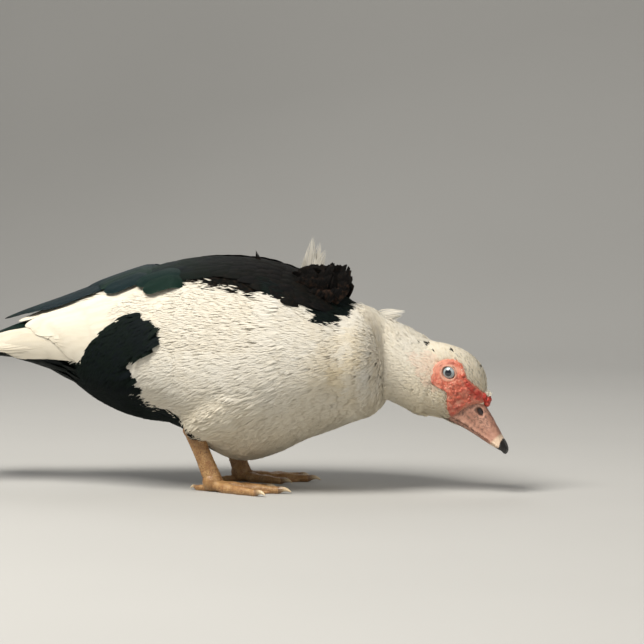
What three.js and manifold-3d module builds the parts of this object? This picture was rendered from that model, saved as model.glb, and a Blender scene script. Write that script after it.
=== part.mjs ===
import * as THREE from 'three';
import { mergeVertices } from 'three/addons/utils/BufferGeometryUtils.js';
import Module from 'manifold-3d';

// A pied muscovy duck, a female, standing with its head stretched low.
// Millimetres, bill towards +X, up is +Z, and the bird's right side faces -Y.

const wasm = await Module();
wasm.setup();

// Gap that touching nodes keep, and the wider one of a pocket whose piece has faces of its own
const GAP = 0.3;
const POCKET_GAP = 0.5;

// Body in cross-sections along x: its top, bottom, half width and the height of its widest level
const BODY = [
  { x: -196, top: 144, bottom: 130, half: 13, wide: 137 },
  { x: -186, top: 150, bottom: 120, half: 27, wide: 137 },
  { x: -165, top: 161, bottom: 97, half: 42, wide: 133 },
  { x: -135, top: 174, bottom: 74, half: 56, wide: 126 },
  { x: -100, top: 187, bottom: 60, half: 70, wide: 120 },
  { x: -60, top: 198, bottom: 54, half: 81, wide: 116 },
  { x: -38, top: 202, bottom: 37, half: 85, wide: 113 },
  { x: -10, top: 203, bottom: 24, half: 88, wide: 110 },
  { x: 18, top: 200, bottom: 28, half: 88, wide: 110 },
  { x: 45, top: 191, bottom: 41, half: 85, wide: 111 },
  { x: 75, top: 176, bottom: 51, half: 78, wide: 112 },
  { x: 96, top: 163, bottom: 60, half: 69, wide: 112 },
];
const BREAST_X = 96;
const BREAST_DEPTH = 34;
const BREAST_AXIS = 112;
const BODY_STATIONS = 16;
const BREAST_STATIONS = 6;
const BODY_SIDES = 26;

// Closed wing's outer surface, in the same kind of sections, from the shoulder to the wing tip
const CLOAK = [
  { x: -240, top: 138, bottom: 104, half: 34, wide: 121 },
  { x: -205, top: 150, bottom: 95, half: 45, wide: 125 },
  { x: -170, top: 162, bottom: 84, half: 55, wide: 128 },
  { x: -135, top: 175, bottom: 70, half: 63, wide: 126 },
  { x: -100, top: 187, bottom: 60, half: 71, wide: 120 },
  { x: -60, top: 198, bottom: 54, half: 81, wide: 116 },
  { x: -38, top: 202, bottom: 37, half: 85, wide: 113 },
  { x: -10, top: 203, bottom: 24, half: 88, wide: 110 },
  { x: 18, top: 200, bottom: 28, half: 88, wide: 110 },
  { x: 45, top: 191, bottom: 41, half: 85, wide: 111 },
  { x: 75, top: 176, bottom: 51, half: 78, wide: 112 },
  { x: 96, top: 163, bottom: 60, half: 69, wide: 112 },
];

// Depth that the wing, the mantle and the scapulars are let into the body
const INLAY_DEPTH = 5;
const POCKET_HIGH = 30;

// Plates of the back, in degrees from the top and along X: mantle in the middle, scapulars to
// either side of it, and the wing below them
const MANTLE_EDGE = 19;
const SCAPULAR_EDGE = 38;
const PLATE_PARTING = 0.4;
const WING_FRONT = 46;
const WING_BACK = -128;
const WING_STRIPS = 10;
const WING_STEP = (WING_FRONT - WING_BACK) / WING_STRIPS;
const BACK_FRONT = 92;
const BACK_END = -110;
const BACK_ROWS = 10;
const BACK_STEP = (BACK_FRONT - BACK_END) / BACK_ROWS;
const WING_POCKET_MORE = 6;
const BACK_POCKET_MORE = 3;

// Boundary of the dark rear: its height and place at the bulge of the flank, and at the belly
const FLANK_BACK_X = -112;
const FLANK_BACK_Z = 111;
const VENT_FRONT_X = -53;
const VENT_FRONT_Z = 52;
const TAIL_ROOT_X = -158;

// Tail fan
const TAIL_BASE = new THREE.Vector3(-172, 0, 139);
const TAIL_LENGTH = 136;
const TAIL_PITCH = 10;
const TAIL_SPREAD = 14;

// Neck, a bent tube: points of its middle line with the half depth and half width there
const NECK = [
  { x: 88, y: 0, z: 121, deep: 33, half: 31 },
  { x: 108, y: 0, z: 118, deep: 33, half: 30 },
  { x: 128, y: -0.5, z: 112.5, deep: 32.5, half: 29 },
  { x: 148, y: -1.5, z: 104, deep: 32, half: 27 },
  { x: 166, y: -3, z: 95, deep: 32, half: 25 },
  { x: 178, y: -4, z: 89, deep: 27, half: 20 },
];
const NECK_SIDES = 20;
const NECK_CUT = new THREE.Vector3(157, -2, 100);
const NECK_CUT_PITCH = 26;

// Head: its place, its pitch down and its turn towards the bird's right, then its own sections
const HEAD_PLACE = new THREE.Vector3(180, -4, 91.8);
const HEAD_PITCH = 43;
const HEAD_TURN = -6;
const HEAD = [
  { x: -46, top: 8, bottom: -14, half: 11, wide: -4 },
  { x: -40, top: 15.5, bottom: -24, half: 18, wide: -5 },
  { x: -30, top: 23.5, bottom: -34, half: 22, wide: -8 },
  { x: -20, top: 29.5, bottom: -38.5, half: 23.3, wide: -9 },
  { x: -10, top: 33.3, bottom: -36.8, half: 23.6, wide: -9 },
  { x: 0, top: 34.3, bottom: -33.4, half: 23.2, wide: -8 },
  { x: 9, top: 33, bottom: -27.8, half: 20.9, wide: -7 },
  { x: 17, top: 29.3, bottom: -23.2, half: 16.8, wide: -6 },
  { x: 24, top: 22.6, bottom: -21.2, half: 12.9, wide: -5 },
  { x: 30, top: 16.5, bottom: -19.6, half: 10, wide: -5 },
  { x: 34, top: 11, bottom: -17.4, half: 6.5, wide: -5 },
];
const HEAD_STATIONS = 12;
const HEAD_SIDES = 20;

// Upper and lower bill in the head's frame: section heights and half widths
const UPPER_BILL = [
  { x: 12, top: 12.5, bottom: -17.2, half: 11.8 },
  { x: 22, top: 12.3, bottom: -14.8, half: 12.8 },
  { x: 30, top: 11.2, bottom: -12.3, half: 12.7 },
  { x: 37, top: 9.4, bottom: -10.8, half: 12.1 },
  { x: 46, top: 7, bottom: -9.4, half: 11.3 },
  { x: 55, top: 4, bottom: -8.1, half: 11 },
  { x: 62, top: 1.4, bottom: -6.9, half: 11.2 },
  { x: 68, top: -0.2, bottom: -6.1, half: 10.2 },
  { x: 72, top: -1.9, bottom: -6.7, half: 7.8 },
  { x: 74.6, top: -3.4, bottom: -7.5, half: 4.6 },
  { x: 75.7, top: -5, bottom: -7.6, half: 2 },
];
const LOWER_BILL = [
  { x: 14, bottom: -23.6, half: 9.3 },
  { x: 24, bottom: -20.4, half: 10.4 },
  { x: 34, bottom: -16.8, half: 10.8 },
  { x: 46, bottom: -13.8, half: 10.2 },
  { x: 56, bottom: -11.8, half: 9.9 },
  { x: 64, bottom: -10, half: 9.2 },
  { x: 68, bottom: -9.1, half: 7.6 },
  { x: 70.4, bottom: -8.6, half: 4.6 },
];
const BILL_SIDES = 14;
const BILL_ROUNDNESS = 0.75;
const MOUTH_GAP = 0.35;
const NAIL_START = 66;
const NOSTRIL = { x: 35, y: 9.4, z: 4.8, long: 4.3, high: 2.3, deep: 3.2 };

// Eye in the head's frame, and the ring of its lids
const EYE = { x: -6.3, z: 12.9, radius: 8, proud: 0.6 };
const LID_RADIUS = 6.1;
const LID_THICK = 1.15;

// Bare red face in the head's frame: its outline seen from the side
const FACE_OUTLINE = [
  [-20, 12], [-16, 20], [-9.5, 24.6], [-3, 25.2], [3.5, 22.8], [8.5, 19.8], [15, 19.2], [21, 18.8],
  [26.5, 16.6], [26.6, 10.5], [24.6, 3], [22.6, -4.5], [18.2, -8.5], [17, -15], [12.8, -10],
  [9.5, -3.6], [3, -1], [-5, -3.4], [-11, -4], [-17.5, 1.2],
];
const FACE_POINTS = 18;
const FACE_PARTING = 4;
const FACE_REACH = 40;
const FACE_RAISED = 1.1;
const FACE_SUNK = 1.8;

// Bulbs of the central caruncle, in the head's frame
const KNOB_BULBS = [
  { at: [33, 0, 14.5], radius: 4.6 },
  { at: [29, 4, 15], radius: 3.8 },
  { at: [29, -4, 15], radius: 3.8 },
];

// Legs: hock and ankle of each side, and how far each foot turns in
const LEGS = {
  right: { side: -1, hock: [-42, -45.5, 56], ankle: [-24, -45, 12], turn: -6 },
  left: { side: 1, hock: [-35, 45.5, 55], ankle: [-20, 45, 12], turn: 5 },
};
const ANKLE_CUT_Z = 12;
const KNUCKLE_RADIUS = 8.6;

// Feathered thigh down to the hock, given for the left leg, and the shank from hock to ankle:
// share of the way, and half depth and half width there
const THIGH = [
  { x: 16, y: 54, z: 98, deep: 20, half: 20 },
  { x: 0, y: 60, z: 84, deep: 29, half: 25.5 },
  { x: -18, y: 58, z: 71, deep: 23, half: 21.5 },
  { x: -32, y: 52, z: 61, deep: 16, half: 15.5 },
];
const THIGH_END = 11;
const SHANK = [
  { at: -0.08, deep: 6, half: 5.2 },
  { at: 0, deep: 8.6, half: 7.3 },
  { at: 0.14, deep: 8.1, half: 6.2 },
  { at: 0.5, deep: 7.3, half: 5.4 },
  { at: 0.85, deep: 7.8, half: 5.7 },
  { at: 1.12, deep: 8.4, half: 6.5 },
];
const THIGH_SIDES = 14;
const SHANK_SIDES = 10;

// Toes of one foot: length, angle from straight ahead (outwards positive) and radius at the root
const TOES = [
  { name: 'inner', length: 46, angle: -29, radius: 4.4 },
  { name: 'middle', length: 61, angle: 0, radius: 4.9 },
  { name: 'outer', length: 55, angle: 27, radius: 4.5 },
  { name: 'hind', length: 17, angle: 198, radius: 3.4 },
];
const CLAW_LENGTH = 12;
const TOE_SIDES = 6;
const WEB_THICK = 1.4;
const WEB_LIFT = 0.5;

// Rows of wing feathers, front to back: how many, where they root, how far back their tips lie
// at the upper and the lower end of the row, the angles from the top that the row spans at its
// roots and at its tips, half width, and how far the tips stand off
const WING_ROWS = [
  { count: 4, root: 22, tips: [-36, -28], roots: [48, 88], ends: [48, 90], lift: 1.8 },
  { count: 4, root: -28, tips: [-92, -80], roots: [48, 90], ends: [49, 93], lift: 1.9 },
  { count: 6, root: -76, tips: [-196, -152], roots: [48, 94], ends: [54, 99], lift: 1.2 },
];
const PRIMARIES = {
  count: 4, root: -104, tips: [-238, -186], roots: [80, 97], ends: [74, 102], lift: -2.4,
};

// Rows of scapulars, and the long tertials behind them
const SCAPULAR_ROWS = [
  { count: 3, root: 34, tips: [-54, -40], roots: [23, 32], ends: [21, 36], lift: 2.8 },
  { count: 3, root: -42, tips: [-118, -96], roots: [23, 32], ends: [21, 39], lift: 6.4 },
];
const TERTIALS = {
  count: 4, root: -84, tips: [-190, -228], roots: [23, 33], ends: [14, 50], lift: 4.4,
};

// Lens of a feather: thickness at its shaft, tilt of its edges, and its slope up from a sunk root
const VANE_THICK = 1.3;
const VANE_TILT = 1.4;
const VANE_ROOT = -2;
const VANE_RISE = 24;
const VANE_COVER = 0.74;
const VANE_WIDEST = 15;

// Ruffled mantle: feathers that stand up and curl forward, and white tufts on the left shoulder
const RUFFLE = { count: 10, from: 49, to: 85, spread: 55, height: 19, curl: 10, half: 8 };
const TUFT_HIGH = { count: 4, x: 38, angle: 43, height: 50, half: 5 };
const TUFT_FRONT = { count: 3, x: 92, angle: 44, reach: 36, half: 5.5 };

// Tail feathers and the coverts over and under them
const TAIL_FEATHERS = 9;
const TAIL_COVERTS = { count: 4, root: -165, over: -214, under: -236, half: 10 };

// Caruncles: rows of bulbs on the bare face, seen from the side, and their radius from end to end
const CARUNCLE_ROWS = [
  { from: [5, 18.8], to: [23, 15.8], count: 5, radius: [1.9, 2.8] },
  { from: [16.4, -9.5], to: [20.6, -1], count: 3, radius: [1.7, 2.1] },
  { from: [4, 4], to: [15, 3], count: 2, radius: [1.5, 1.9] },
];

// Colours from the photograph
const WHITE_PLUMAGE = '#ebe6d8';
const DARK_PLUMAGE = '#14140f';
const GREEN_PLUMAGE = '#16302c';
const FACE_RED = '#c8553f';
const BILL_PINK = '#cf8a76';
const NAIL_BLACK = '#1a1715';
const IRIS_BLUE = '#8fa3ab';
const LEG_OCHRE = '#a97c4c';
const CLAW_HORN = '#d9cbb4';

// Number helpers
const radians = THREE.MathUtils.degToRad;
const lerp = THREE.MathUtils.lerp;

// Smooth value of one field of a row of sections at x, by a cubic through its neighbours
function keyed(keys, x, field) {
  const last = keys.length - 1;
  const clamped = THREE.MathUtils.clamp(x, keys[0].x, keys[last].x);
  let i = 0;
  while (i < last - 1 && keys[i + 1].x < clamped) i += 1;
  const a = keys[i];
  const b = keys[i + 1];
  const before = keys[Math.max(i - 1, 0)];
  const after = keys[Math.min(i + 2, last)];
  const span = b.x - a.x;
  const t = (clamped - a.x) / span;
  const slopeA = ((b[field] - before[field]) / (b.x - before.x)) * span;
  const slopeB = ((after[field] - a[field]) / (after.x - a.x)) * span;
  const t2 = t * t;
  const t3 = t2 * t;
  return (2 * t3 - 3 * t2 + 1) * a[field] + (t3 - 2 * t2 + t) * slopeA
    + (3 * t2 - 2 * t3) * b[field] + (t3 - t2) * slopeB;
}

// Value of one field at x on the straight lines between the sections
function keyedLine(keys, x, field) {
  const i = Math.max(keys.findIndex((key) => key.x > x) - 1, 0);
  const t = (x - keys[i].x) / (keys[i + 1].x - keys[i].x);
  return lerp(keys[i][field], keys[i + 1][field], t);
}

function sectionAt(keys, x, grow) {
  return {
    top: keyed(keys, x, 'top') + grow,
    bottom: keyed(keys, x, 'bottom') - grow,
    half: keyed(keys, x, 'half') + grow,
    wide: keyed(keys, x, 'wide'),
  };
}

// Point of a section at an angle from its top: 90 degrees is the left side, -90 the right side
function sectionPoint(section, x, angle) {
  const up = Math.cos(angle);
  const reach = up > 0 ? section.top - section.wide : section.wide - section.bottom;
  return new THREE.Vector3(x, section.half * Math.sin(angle), section.wide + reach * up);
}

// Closed skin over a row of rings with the same number of points, with a fan on each end
function loft(rings) {
  const count = rings[0].length;
  const points = rings.flat();
  const index = [];
  for (let r = 0; r + 1 < rings.length; r += 1) {
    for (let i = 0; i < count; i += 1) {
      const j = (i + 1) % count;
      const a = r * count + i;
      const b = r * count + j;
      index.push(a, b, a + count, b, b + count, a + count);
    }
  }
  for (const [ring, start, turned] of [[rings[0], 0, true], [rings.at(-1), points.length - count, false]]) {
    const middle = ring.reduce((sum, p) => sum.add(p), new THREE.Vector3()).divideScalar(count);
    const centre = points.push(middle) - 1;
    for (let i = 0; i < count; i += 1) {
      const j = (i + 1) % count;
      index.push(...(turned ? [centre, start + j, start + i] : [centre, start + i, start + j]));
    }
  }
  return solid(points, index);
}

// Closed slab between two grids of points of the same size
function slab(outer, inner) {
  const rows = outer.length;
  const columns = outer[0].length;
  const points = [...outer.flat(), ...inner.flat()];
  const under = rows * columns;
  const index = [];
  const quad = (a, b, c, d) => index.push(a, b, c, a, c, d);
  for (let r = 0; r + 1 < rows; r += 1) {
    for (let c = 0; c + 1 < columns; c += 1) {
      const a = r * columns + c;
      quad(a, a + 1, a + columns + 1, a + columns);
      index.push(under + a, under + a + columns + 1, under + a + 1);
      index.push(under + a, under + a + columns, under + a + columns + 1);
    }
  }
  for (let r = 0; r + 1 < rows; r += 1) {
    const a = r * columns;
    const b = a + columns;
    quad(a, b, under + b, under + a);
    quad(b + columns - 1, a + columns - 1, under + a + columns - 1, under + b + columns - 1);
  }
  for (let c = 0; c + 1 < columns; c += 1) {
    const end = (rows - 1) * columns + c;
    quad(c + 1, c, under + c, under + c + 1);
    quad(end, end + 1, under + end + 1, under + end);
  }
  return solid(points, index);
}

// Solid from points and triangles, turned outwards if its volume comes out negative
function solid(points, index) {
  let volume = 0;
  for (let i = 0; i < index.length; i += 3) {
    const [a, b, c] = [points[index[i]], points[index[i + 1]], points[index[i + 2]]];
    volume += a.dot(new THREE.Vector3().crossVectors(b, c));
  }
  if (volume < 0) index.reverse();
  const geometry = new THREE.BufferGeometry();
  geometry.setFromPoints(points);
  geometry.setIndex(index);
  return fromGeometry(geometry);
}

function fromGeometry(geometry) {
  const bare = geometry.clone();
  bare.deleteAttribute('normal');
  bare.deleteAttribute('uv');
  const merged = mergeVertices(bare, 1e-4);
  return new wasm.Manifold(new wasm.Mesh({
    numProp: 3,
    vertProperties: new Float32Array(merged.attributes.position.array),
    triVerts: new Uint32Array(merged.index.array),
  }));
}

function placed(geometry, matrix) {
  return fromGeometry(geometry.clone().applyMatrix4(matrix));
}

const union = (pieces) => pieces.reduce((sum, piece) => sum.add(piece));
const cut = (body, ...tools) => tools.reduce((rest, tool) => rest.subtract(tool), body);

// Extruded outline in the XZ plane, from y = -reach to y = reach
function wall(outline, reach) {
  const shape = new THREE.Shape(outline.map(([x, z]) => new THREE.Vector2(x, z)));
  const geometry = new THREE.ExtrudeGeometry(shape, { depth: 2 * reach, bevelEnabled: false });
  geometry.applyMatrix4(new THREE.Matrix4().makeTranslation(0, 0, -reach));
  geometry.applyMatrix4(new THREE.Matrix4().makeRotationX(Math.PI / 2));
  return fromGeometry(geometry);
}

// Half space beyond a plane: a large box on the side that the normal points to
function beyond(point, normal) {
  const size = 900;
  const box = new THREE.BoxGeometry(size, size, size);
  const turn = new THREE.Quaternion().setFromUnitVectors(new THREE.Vector3(0, 0, 1), normal);
  const centre = point.clone().addScaledVector(normal, size / 2);
  return placed(box, new THREE.Matrix4().compose(centre, turn, new THREE.Vector3(1, 1, 1)));
}

// Whole body with its rounded breast, grown outwards by an amount
function bodySection(x, grow) {
  const past = Math.max(x - BREAST_X, 0) / (BREAST_DEPTH + grow);
  const section = sectionAt(BODY, Math.min(x, BREAST_X), grow);
  const shrink = Math.pow(Math.max(1 - past * past, 0), 0.42);
  return {
    top: lerp(BREAST_AXIS, section.top, shrink),
    bottom: lerp(BREAST_AXIS, section.bottom, shrink),
    half: section.half * shrink,
    wide: lerp(BREAST_AXIS, section.wide, shrink),
  };
}

function bodyWhole(grow) {
  const stations = [];
  const start = BODY[0].x;
  for (let i = 0; i <= BODY_STATIONS; i += 1) stations.push(lerp(start, BREAST_X, i / BODY_STATIONS));
  for (let i = 1; i <= BREAST_STATIONS; i += 1) {
    const angle = radians(86 * (i / BREAST_STATIONS));
    stations.push(BREAST_X + (BREAST_DEPTH + grow) * Math.sin(angle));
  }
  stations[0] -= grow;
  return loft(stations.map((x) => {
    const section = bodySection(x, grow);
    const ring = [];
    for (let i = 0; i < BODY_SIDES; i += 1) {
      ring.push(sectionPoint(section, x, (2 * Math.PI * i) / BODY_SIDES));
    }
    return ring;
  }));
}

// Patch of the closed wing's surface between two angles, from x0 to x1 and between two lifts
function patch({ x0, x1, from, to, rows, columns, low, high, grow = 0 }) {
  const grid = (lift) => {
    const lines = [];
    for (let r = 0; r <= rows; r += 1) {
      const x = lerp(x0 - grow, x1 + grow, r / rows);
      const wide = sectionAt(CLOAK, x, 0).half;
      const extra = Math.min(grow / wide, 0.05);
      const section = sectionAt(CLOAK, x, lift(x));
      const turn = Math.sign(to(x) - from(x));
      const start = radians(from(x)) - turn * extra;
      const end = radians(to(x)) + turn * extra;
      const line = [];
      for (let c = 0; c <= columns; c += 1) {
        line.push(sectionPoint(section, x, lerp(start, end, c / columns)));
      }
      lines.push(line);
    }
    return lines;
  };
  return slab(grid(high), grid(low));
}

// Straight fall between two values as x goes from a to b
const ramp = (x, a, b, valueA, valueB) => {
  const t = THREE.MathUtils.clamp((x - a) / (b - a), 0, 1);
  return lerp(valueA, valueB, t);
};

// Wing: a plate let into the flank, with rows of feathers that overlap towards the tip
const wingPlate = (side, x0) => ({
  x0, x1: WING_FRONT, rows: WING_STRIPS, columns: 5,
  from: () => side * (SCAPULAR_EDGE + PLATE_PARTING),
  to: (x) => side * ramp(x, -110, -80, 110, 98),
});

function wing(side) {
  const plate = patch({ ...wingPlate(side, WING_BACK), low: () => -INLAY_DEPTH, high: () => 0 });
  const rows = [...WING_ROWS, PRIMARIES].flatMap((row) => featherRow(row, side, 0));
  return union([plate, ...rows]);
}

// Pocket that a plate lies in, open above the surface
const pocket = (options) => patch({
  ...options, low: () => -INLAY_DEPTH - GAP, high: () => POCKET_HIGH, grow: POCKET_GAP,
});

// The wing's pocket runs on behind its plate, under the long feathers
const wingPocket = (side) => pocket({
  ...wingPlate(side, WING_BACK - WING_POCKET_MORE * WING_STEP),
  rows: WING_STRIPS + WING_POCKET_MORE,
});

// Scapulars with the tertials behind them: a dark strip over the top of the wing
function scapularFeathers(side, grow) {
  return [...SCAPULAR_ROWS, TERTIALS].flatMap((row) => featherRow(row, side, grow));
}

function scapulars(side) {
  const strip = patch({
    x0: BACK_END, x1: BACK_FRONT, rows: BACK_ROWS, columns: 2,
    from: () => side * (MANTLE_EDGE + PLATE_PARTING), to: () => side * SCAPULAR_EDGE,
    low: () => -INLAY_DEPTH, high: () => 0,
  });
  return union([strip, ...scapularFeathers(side, 0)]);
}

const backPocket = () => pocket({
  x0: BACK_END - BACK_POCKET_MORE * BACK_STEP, x1: BACK_FRONT,
  rows: BACK_ROWS + BACK_POCKET_MORE, columns: 6,
  from: () => -SCAPULAR_EDGE, to: () => SCAPULAR_EDGE,
});

// Feather: a thin lens carried along a path, with its root narrow and its tip round
function feather({ path, half, thick = VANE_THICK, tilt = 0, steps = 5, grow = 0 }) {
  const rings = [];
  const step = 0.01;
  for (let i = 0; i <= steps; i += 1) {
    const t = Math.sin((Math.PI / 2) * (i / steps));
    const { at, out } = path(t);
    const along = path(t + step).at.sub(path(t - step).at).normalize();
    const across = new THREE.Vector3().crossVectors(out, along).normalize();
    const up = new THREE.Vector3().crossVectors(along, across);
    const open = THREE.MathUtils.smoothstep(t, -0.3, 0.45);
    const round = Math.sqrt(Math.max(1 - Math.pow(Math.max((t - 0.7) / 0.3, 0), 2), 0.06));
    const widest = typeof half === 'function' ? half(t) : half;
    const width = widest * open * round + grow;
    const depth = (thick / 2) * lerp(1, 0.55, t) + grow;
    const lean = tilt * open * round;
    if (i === 0) at.addScaledVector(along, -grow);
    if (i === steps) at.addScaledVector(along, grow);
    rings.push([
      at.clone().addScaledVector(across, width).addScaledVector(up, -lean),
      at.clone().addScaledVector(up, depth),
      at.clone().addScaledVector(across, -width).addScaledVector(up, lean),
      at.clone().addScaledVector(up, -depth),
    ]);
  }
  return bladeFromRings(rings);
}

// Closed blade of four-sided rings, with both faces split into triangles alike
function bladeFromRings(rings) {
  const index = [];
  const last = rings.length - 1;
  for (let r = 0; r < last; r += 1) {
    for (let k = 0; k < 4; k += 1) {
      const [a, b] = [4 * r + k, 4 * r + ((k + 1) % 4)];
      const [c, d] = [b + 4, a + 4];
      index.push(...(k % 2 === 0 ? [a, b, c, a, c, d] : [a, b, d, b, c, d]));
    }
  }
  const end = 4 * last;
  index.push(0, 2, 1, 0, 3, 2);
  index.push(end, end + 1, end + 2, end, end + 2, end + 3);
  return solid(rings.flat(), index);
}

// Path of one feather of a row on the closed wing's surface
function rowPath(row, side, i) {
  const share = i / (row.count - 1);
  const tipX = lerp(row.tips[0], row.tips[1], share) + 2 * Math.sin(5 * i + row.root);
  const startAngle = lerp(row.roots[0], row.roots[1], share);
  const endAngle = lerp(row.ends[0], row.ends[1], share);
  const clearance = Math.min(VANE_RISE / Math.abs(tipX - row.root), 0.75);
  return (t) => {
    const x = lerp(row.root, tipX, t);
    const angle = radians(side * lerp(startAngle, endAngle, t));
    const rise = THREE.MathUtils.smoothstep(t, 0, clearance);
    const lift = lerp(VANE_ROOT + Math.min(row.lift + 1, 0), row.lift, rise) - 0.1 * i;
    const at = sectionPoint(sectionAt(CLOAK, x, lift), x, angle);
    const out = sectionPoint(sectionAt(CLOAK, x, lift + 1), x, angle).sub(at).normalize();
    return { at, out };
  };
}

// Row of feathers, the upper ones over the lower ones, each a share wider than its spacing
function featherRow(row, side, grow) {
  const paths = [];
  for (let i = 0; i < row.count; i += 1) paths.push(rowPath(row, side, i));
  return paths.map((path, i) => {
    const next = paths[i + 1] ?? paths[i - 1];
    const half = (t) => Math.min(VANE_COVER * path(t).at.distanceTo(next(t).at), VANE_WIDEST);
    const long = path(0).at.distanceTo(path(1).at) > 80;
    return feather({ path, half, tilt: side * VANE_TILT, steps: long ? 5 : 4, grow });
  });
}

// Feather that leaves the body at a place on its surface and bends through two more points
function standingFeather({ start, control, end, out, half, thick, steps = 4 }) {
  const curve = new THREE.QuadraticBezierCurve3(start, control, end);
  const path = (t) => {
    const inside = THREE.MathUtils.clamp(t, 0, 1);
    const at = curve.getPoint(inside);
    if (t !== inside) at.addScaledVector(curve.getTangent(inside), (t - inside) * curve.getLength());
    return { at, out };
  };
  return feather({ path, half, thick, steps });
}

function surfaceFrame(x, degrees) {
  const section = bodySection(x, 0);
  const at = sectionPoint(section, x, radians(degrees));
  const out = sectionPoint(bodySection(x, 1), x, radians(degrees)).sub(at).normalize();
  return { at, out };
}

// Mantle: the dark middle of the back, with a ruff of feathers that the wind has lifted
function mantle() {
  const plate = patch({
    x0: BACK_END, x1: BACK_FRONT, rows: BACK_ROWS, columns: 4,
    from: () => -MANTLE_EDGE, to: () => MANTLE_EDGE, low: () => -INLAY_DEPTH, high: () => 0,
  });
  const feathers = [];
  for (let i = 0; i < RUFFLE.count; i += 1) {
    const share = i / (RUFFLE.count - 1);
    const x = lerp(RUFFLE.from, RUFFLE.to, share);
    const degrees = (MANTLE_EDGE - 6) * Math.sin(2.4 * i + 0.7);
    const { at, out } = surfaceFrame(x, degrees);
    const swell = lerp(0.75, 1, Math.sin(Math.PI * Math.min(share + 0.2, 1)));
    const height = RUFFLE.height * (0.8 + 0.2 * Math.cos(1.7 * i)) * swell;
    const start = at.clone().addScaledVector(out, -2.2);
    const control = at.clone().addScaledVector(out, height * 0.75);
    control.x -= 7;
    const end = at.clone().addScaledVector(out, height);
    end.x += RUFFLE.curl * lerp(0.2, 1, share);
    const facing = radians(90 + RUFFLE.spread * Math.sin(4.1 * i + 1));
    const face = new THREE.Vector3(Math.cos(facing), Math.sin(facing), 0.1);
    feathers.push(standingFeather({ start, control, end, out: face, half: RUFFLE.half }));
  }
  return union([plate, ...feathers]);
}

// White tufts of the left shoulder that the ruffled coat lifts
function highTuft() {
  const feathers = [];
  for (let i = 0; i < TUFT_HIGH.count; i += 1) {
    const spread = i - (TUFT_HIGH.count - 1) / 2;
    const { at, out } = surfaceFrame(TUFT_HIGH.x + 4 * spread, TUFT_HIGH.angle);
    const start = at.clone().addScaledVector(out, -3.5);
    const height = TUFT_HIGH.height * (1 - 0.18 * Math.abs(spread - 0.5));
    const end = at.clone().add(new THREE.Vector3(4 + 0.5 * spread, 5, height));
    const control = at.clone().add(new THREE.Vector3(-1, 9, height * 0.45));
    const face = new THREE.Vector3(0.3, 1, 0);
    feathers.push(standingFeather({ start, control, end, out: face, half: TUFT_HIGH.half }));
  }
  return feathers;
}

function frontTuft() {
  const feathers = [];
  for (let i = 0; i < TUFT_FRONT.count; i += 1) {
    const spread = i - (TUFT_FRONT.count - 1) / 2;
    const { at, out } = surfaceFrame(TUFT_FRONT.x, TUFT_FRONT.angle + 5 * spread);
    const start = at.clone().addScaledVector(out, -3.5);
    const end = at.clone().add(new THREE.Vector3(TUFT_FRONT.reach, 4, 3 - 3 * spread));
    const control = at.clone().add(new THREE.Vector3(TUFT_FRONT.reach * 0.5, 3, 7));
    const face = new THREE.Vector3(0, 0.6, 0.8);
    feathers.push(standingFeather({ start, control, end, out: face, half: TUFT_FRONT.half }));
  }
  return feathers;
}

// Dark rear of the body, seen from the side, grown by an amount
function rearRegion(grow) {
  return wall([
    [FLANK_BACK_X + grow, 300],
    [FLANK_BACK_X + grow, FLANK_BACK_Z - 0.4 * grow],
    [VENT_FRONT_X + grow, VENT_FRONT_Z - 0.4 * grow],
    [VENT_FRONT_X + grow, -40],
    [-500, -40],
    [-500, 300],
  ], 300);
}

// Place on the fan of the tail: how far across, -1 to 1, how far out from its base, and its lift
function tailPoint(across, reach, lift) {
  const pitch = radians(TAIL_PITCH);
  const yaw = radians(TAIL_SPREAD * across);
  return new THREE.Vector3(
    TAIL_BASE.x - reach * Math.cos(yaw) * Math.cos(pitch),
    TAIL_BASE.y + 13 * across + reach * Math.sin(yaw),
    TAIL_BASE.z - reach * Math.sin(pitch) - 5 * across * across + lift,
  );
}

function tailFeathers() {
  const feathers = [];
  const middle = (TAIL_FEATHERS - 1) / 2;
  for (let i = 0; i < TAIL_FEATHERS; i += 1) {
    const across = (i - middle) / middle;
    const length = TAIL_LENGTH * (1 - 0.12 * across * across) + 2 * Math.sin(7 * i);
    const path = (t) => ({
      at: tailPoint(across, length * t, -0.7 * Math.abs(i - middle)),
      out: new THREE.Vector3(0.17, 0.25 * across, 1),
    });
    const side = Math.sign(across);
    const next = (side || 1) * (1 / middle);
    const spacing = (reach) => tailPoint(across, reach, 0).distanceTo(tailPoint(across - next, reach, 0));
    const half = (t) => VANE_COVER * spacing(length * t);
    feathers.push(feather({ path, half, tilt: -VANE_TILT * side, steps: 4 }));
  }
  return feathers;
}

// Coverts that run from the end of the body out over and under the tail
function tailCoverts(above) {
  const feathers = [];
  for (let i = 0; i < TAIL_COVERTS.count; i += 1) {
    const across = (2 * i) / (TAIL_COVERTS.count - 1) - 1;
    const section = bodySection(TAIL_COVERTS.root, 0);
    const angle = radians(above ? 46 * across : 180 - 50 * across);
    const start = sectionPoint(section, TAIL_COVERTS.root, angle);
    start.z += above ? -3 : 3;
    const tipX = (above ? TAIL_COVERTS.over : TAIL_COVERTS.under) + 9 * across * across;
    const reach = (TAIL_BASE.x - tipX) / Math.cos(radians(TAIL_PITCH));
    const end = tailPoint(across * 0.8, reach, above ? 5 : -8 - 2 * (1 - across * across));
    const control = start.clone().lerp(end, 0.45);
    control.z += above ? 3.5 : -4;
    const out = new THREE.Vector3(0.2, 0.5 * across, above ? 1 : -1);
    feathers.push(standingFeather({ start, control, end, out, half: TAIL_COVERTS.half, steps: 3 }));
  }
  return feathers;
}

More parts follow.
